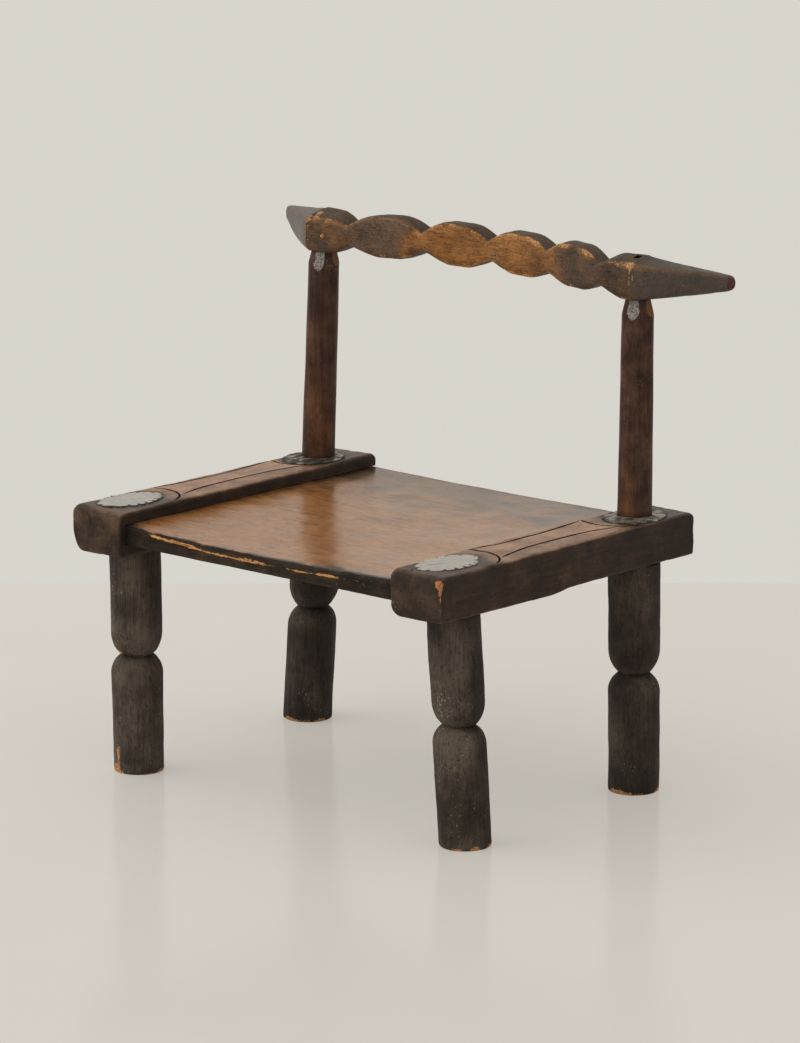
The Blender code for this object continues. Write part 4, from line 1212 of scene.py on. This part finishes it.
def build_peg():
    """The pale peg in the left block, with a domed end."""
    front, axis = peg_place()
    aside = np.array((-axis[1], axis[0], 0.0))
    turn = full_turn(24)[:, None]
    ring = np.cos(turn) * aside + np.sin(turn) * np.array((0, 0, 1.0))
    profile = (*PEG_DOME, (1.0, -PEG_LENGTH / 2), (1.0, -PEG_LENGTH))
    mesh = skin(np.array([front + axis * out + PEG_RADIUS * share * ring for share, out in profile]))
    paint(mesh, tone=0.5, wear=0.0, grime=0.0, polish=0.2)
    add_piece("crest_peg_left", mesh, PEG_WOOD)


def build_pin():
    """The dark square pin in the right block, cut off just under the block's top."""
    low, high = corners_of("crest_pin_right")
    front, back, _, top, _, fall = crest_section(high[0])
    depth = (low[1] - POST_HEAD_Y - front) / (back - front)
    high[2] = min(high[2], top - fall * (1 - depth)) - PIN_SHY
    mesh = block(low, high)
    roughen(mesh, PIN_ROUGHNESS, 541)
    paint(mesh, tone=0.5, wear=0.0, grime=0.0, polish=0.0)
    add_piece("crest_pin_right", mesh, PIN_WOOD)


# Sheet metal

def rim_reach(turn, half, notch_depth, chord, notch_shift):
    """Distance of a disc's rim from its centre at each angle, with its notches and straight cut."""
    reach = 1 / np.hypot(np.cos(turn) / half[0], np.sin(turn) / half[1])
    if chord:
        facing = np.maximum(np.cos(turn - DISC_CHORD_ANGLE), 0.2)
        reach = np.minimum(reach, DISC_CHORD / facing)
    pitch = 2 * np.pi / DISC_NOTCH_COUNT
    off = np.abs((turn + notch_shift + pitch / 2) % pitch - pitch / 2) * reach
    notch = smoothstep(off, DISC_NOTCH_WIDTH / 2 + DISC_NOTCH_BLUR, DISC_NOTCH_WIDTH / 2 - DISC_NOTCH_BLUR)
    return reach - notch_depth * notch


def build_disc(node, sign, end, seed):
    """A disc from its middle or its hole over the top to the rim, and back below."""
    collar = end > 0
    centre = disc_centre(sign, end)
    turn = full_turn(DISC_COLUMNS)
    facing = columns_of(np.cos(turn), np.sin(turn))
    if collar:
        rim = rim_reach(turn, COLLAR_HALF, COLLAR_NOTCH_DEPTH, False, seed * 0.7)
        inner = np.array((sign * RAIL_X, JOINT_Y)) + (POST_BASE_RADIUS + GAP) * facing
    else:
        rim = rim_reach(turn, CAP_HALF, CAP_NOTCH_DEPTH, sign > 0, seed * 0.7)
        inner = centre + CAP_MIDDLE_RADIUS * facing
    smooth_rim = np.maximum(rim, np.roll(rim, 6))
    smooth_rim = np.maximum(smooth_rim, np.roll(smooth_rim, -12))
    upper, lower = [], []
    for share in np.concatenate([np.linspace(0, 0.8, 13), (0.86, 0.91, 0.95, 0.98, 1.0)]):
        reach = between(smooth_rim, rim, smoothstep(share, 0.78, 0.92))
        flat = between(inner, centre + reach[:, None] * facing, share)
        level = columns_of(*flat.T, 0.0)
        crumple = sum(depth * wobble(level, size, seed + i) for i, (depth, size) in enumerate(DISC_CRUMPLE))
        if collar:
            lip = 0.85 + 0.15 * wobble(level, 0.009, seed + 2)
            crumple += smoothstep(share, 0.6, 0.0) * COLLAR_LIP * lip
        rise = RAIL_TOP + np.clip(crumple, *DISC_RISE) - DISC_RIM_DROP * smoothstep(share, 0.93, 1.0)
        upper.append(columns_of(*flat.T, rise + DISC_THICKNESS))
        lower.append(columns_of(*flat.T, np.maximum(rise, RAIL_TOP - DISC_SINK)))
    mesh = skin(np.array(upper + lower[::-1]), ring_closes=collar)
    if sign > 0 and not collar:
        path = [(*(centre + offset), RAIL_TOP + DISC_THICKNESS) for offset in CREASE]
        crease = scribe(path, CREASE_WIDTH, DISC_THICKNESS / 2)
        # Painted shade: the crease's walls take the near-black cut material
        crease.materials.append(DIRT_AND_SHADE_IN_CUTS)
        mesh.materials.append(SHEET_METAL)
        mesh = cut(mesh, [crease])
    points = coordinates(mesh)
    grime = 0.25 * smoothstep(disc_share(points, sign, end), 0.9, 1.02) + (0.12 if sign < 0 else 0.0)
    if collar:
        grime += 0.2 + 0.25 * wobble(points, 0.012, seed + 4)
    paint(mesh, grime=grime)
    add_piece(node, mesh, DIRTY_METAL if collar else SHEET_METAL)


# Light, floor and camera

def build_floor():
    """A pale level floor whose far edge lies behind the chair, seen from the photo's side.

    Part of what is seen of it is an even pale colour of its own, which keeps the shadows faint.
    """
    away = Vector((-math.sin(CAMERA_AZIMUTH), math.cos(CAMERA_AZIMUTH), 0))
    aside = Vector((away.y, -away.x, 0)) * FLOOR_REACH
    far, near = away * FLOOR_BEHIND, away * -FLOOR_REACH
    mesh = bpy.data.meshes.new("floor")
    mesh.from_pydata([far - aside, far + aside, near + aside, near - aside], [], [(0, 1, 2, 3)])
    s = Shader("floor_paint")
    s.surface.inputs["Specular IOR Level"].default_value = 0.2
    clouds = s.noise(0.5)
    roughness = s.remap(clouds, 0.2, 0.8, 0.12, 0.18)
    s.finish(s.ramp(clouds, *FLOOR_PAINT), roughness, s.noise(0.05), 0.0001)
    pale = s.node("ShaderNodeEmission", {"Color": FLOOR_PALE, "Strength": 1.0}).outputs[0]
    share = s.times(s.seen_directly(), FLOOR_EVENNESS)
    mixed = s.node("ShaderNodeMixShader", {0: share, 1: s.surface.outputs[0], 2: pale}).outputs[0]
    s.put(s.tree.nodes["Material Output"].inputs["Surface"], mixed)
    mesh.materials.append(s.material)
    floor = linked("floor", mesh)


def build_world():
    """An even pale surround to see, whose light on things is brighter from the left than from the right."""
    world = bpy.data.worlds.new("studio")
    bpy.context.scene.world = world
    world.use_nodes = True
    n = Nodes(world.node_tree)
    direction = n.node("ShaderNodeTexCoord", {}).outputs["Generated"]
    facing = n.node("ShaderNodeVectorMath", {0: direction, 1: BRIGHT_SIDE}, operation="DOT_PRODUCT")
    light = n.remap(facing.outputs["Value"], -0.9, 0.9, *SURROUND_LIGHT, curve="LINEAR")
    background = n.tree.nodes["Background"].inputs
    n.put(background["Strength"], n.remap(n.seen_directly(), 0.0, 1.0, light, 1.0, curve="LINEAR"))
    n.put(background["Color"], SURROUND_COLOUR)


def build_lamp():
    """One large soft lamp ahead of the chair on the left."""
    light = bpy.data.lights.new("key", "AREA")
    light.size = LAMP_SIZE
    light.energy = LAMP_POWER
    lamp = linked("key", light)
    lamp.location = LAMP_POSITION
    ray = Vector((0, 0, AIM_HEIGHT)) - Vector(LAMP_POSITION)
    lamp.rotation_euler = ray.to_track_quat("-Z", "Y").to_euler()


def build_camera():
    a, e = CAMERA_AZIMUTH, CAMERA_ELEVATION
    back = Vector((math.sin(a) * math.cos(e), -math.cos(a) * math.cos(e), math.sin(e)))
    right = Vector((math.cos(a), math.sin(a), 0))
    up = back.cross(right)
    target = Vector((0, 0, AIM_HEIGHT)) + right * CAMERA_AIM[0] + up * CAMERA_AIM[1]
    lens = bpy.data.cameras.new("camera")
    lens.sensor_width = SENSOR
    lens.lens = FOCAL_PIXELS / PHOTO_HEIGHT * SENSOR
    camera = linked("camera", lens)
    turned_to = Matrix((right, up, back)).transposed().to_4x4()
    camera.matrix_world = Matrix.Translation(target + back * CAMERA_DISTANCE) @ turned_to
    bpy.context.scene.camera = camera


for side, sign in SIDES:
    build_rail(side, sign)
    build_post(side, sign)
    build_disc(f"cap_{side}", sign, -1, 600 + sign)
    build_disc(f"collar_{side}", sign, 1, 620 + sign)
for number, corner in enumerate(FOOT_OFFSETS):
    build_leg(corner, number)
build_seat()
build_crest()
build_peg()
build_pin()

build_floor()
build_world()
build_lamp()
build_camera()
bpy.context.scene.view_settings.view_transform = "Standard"
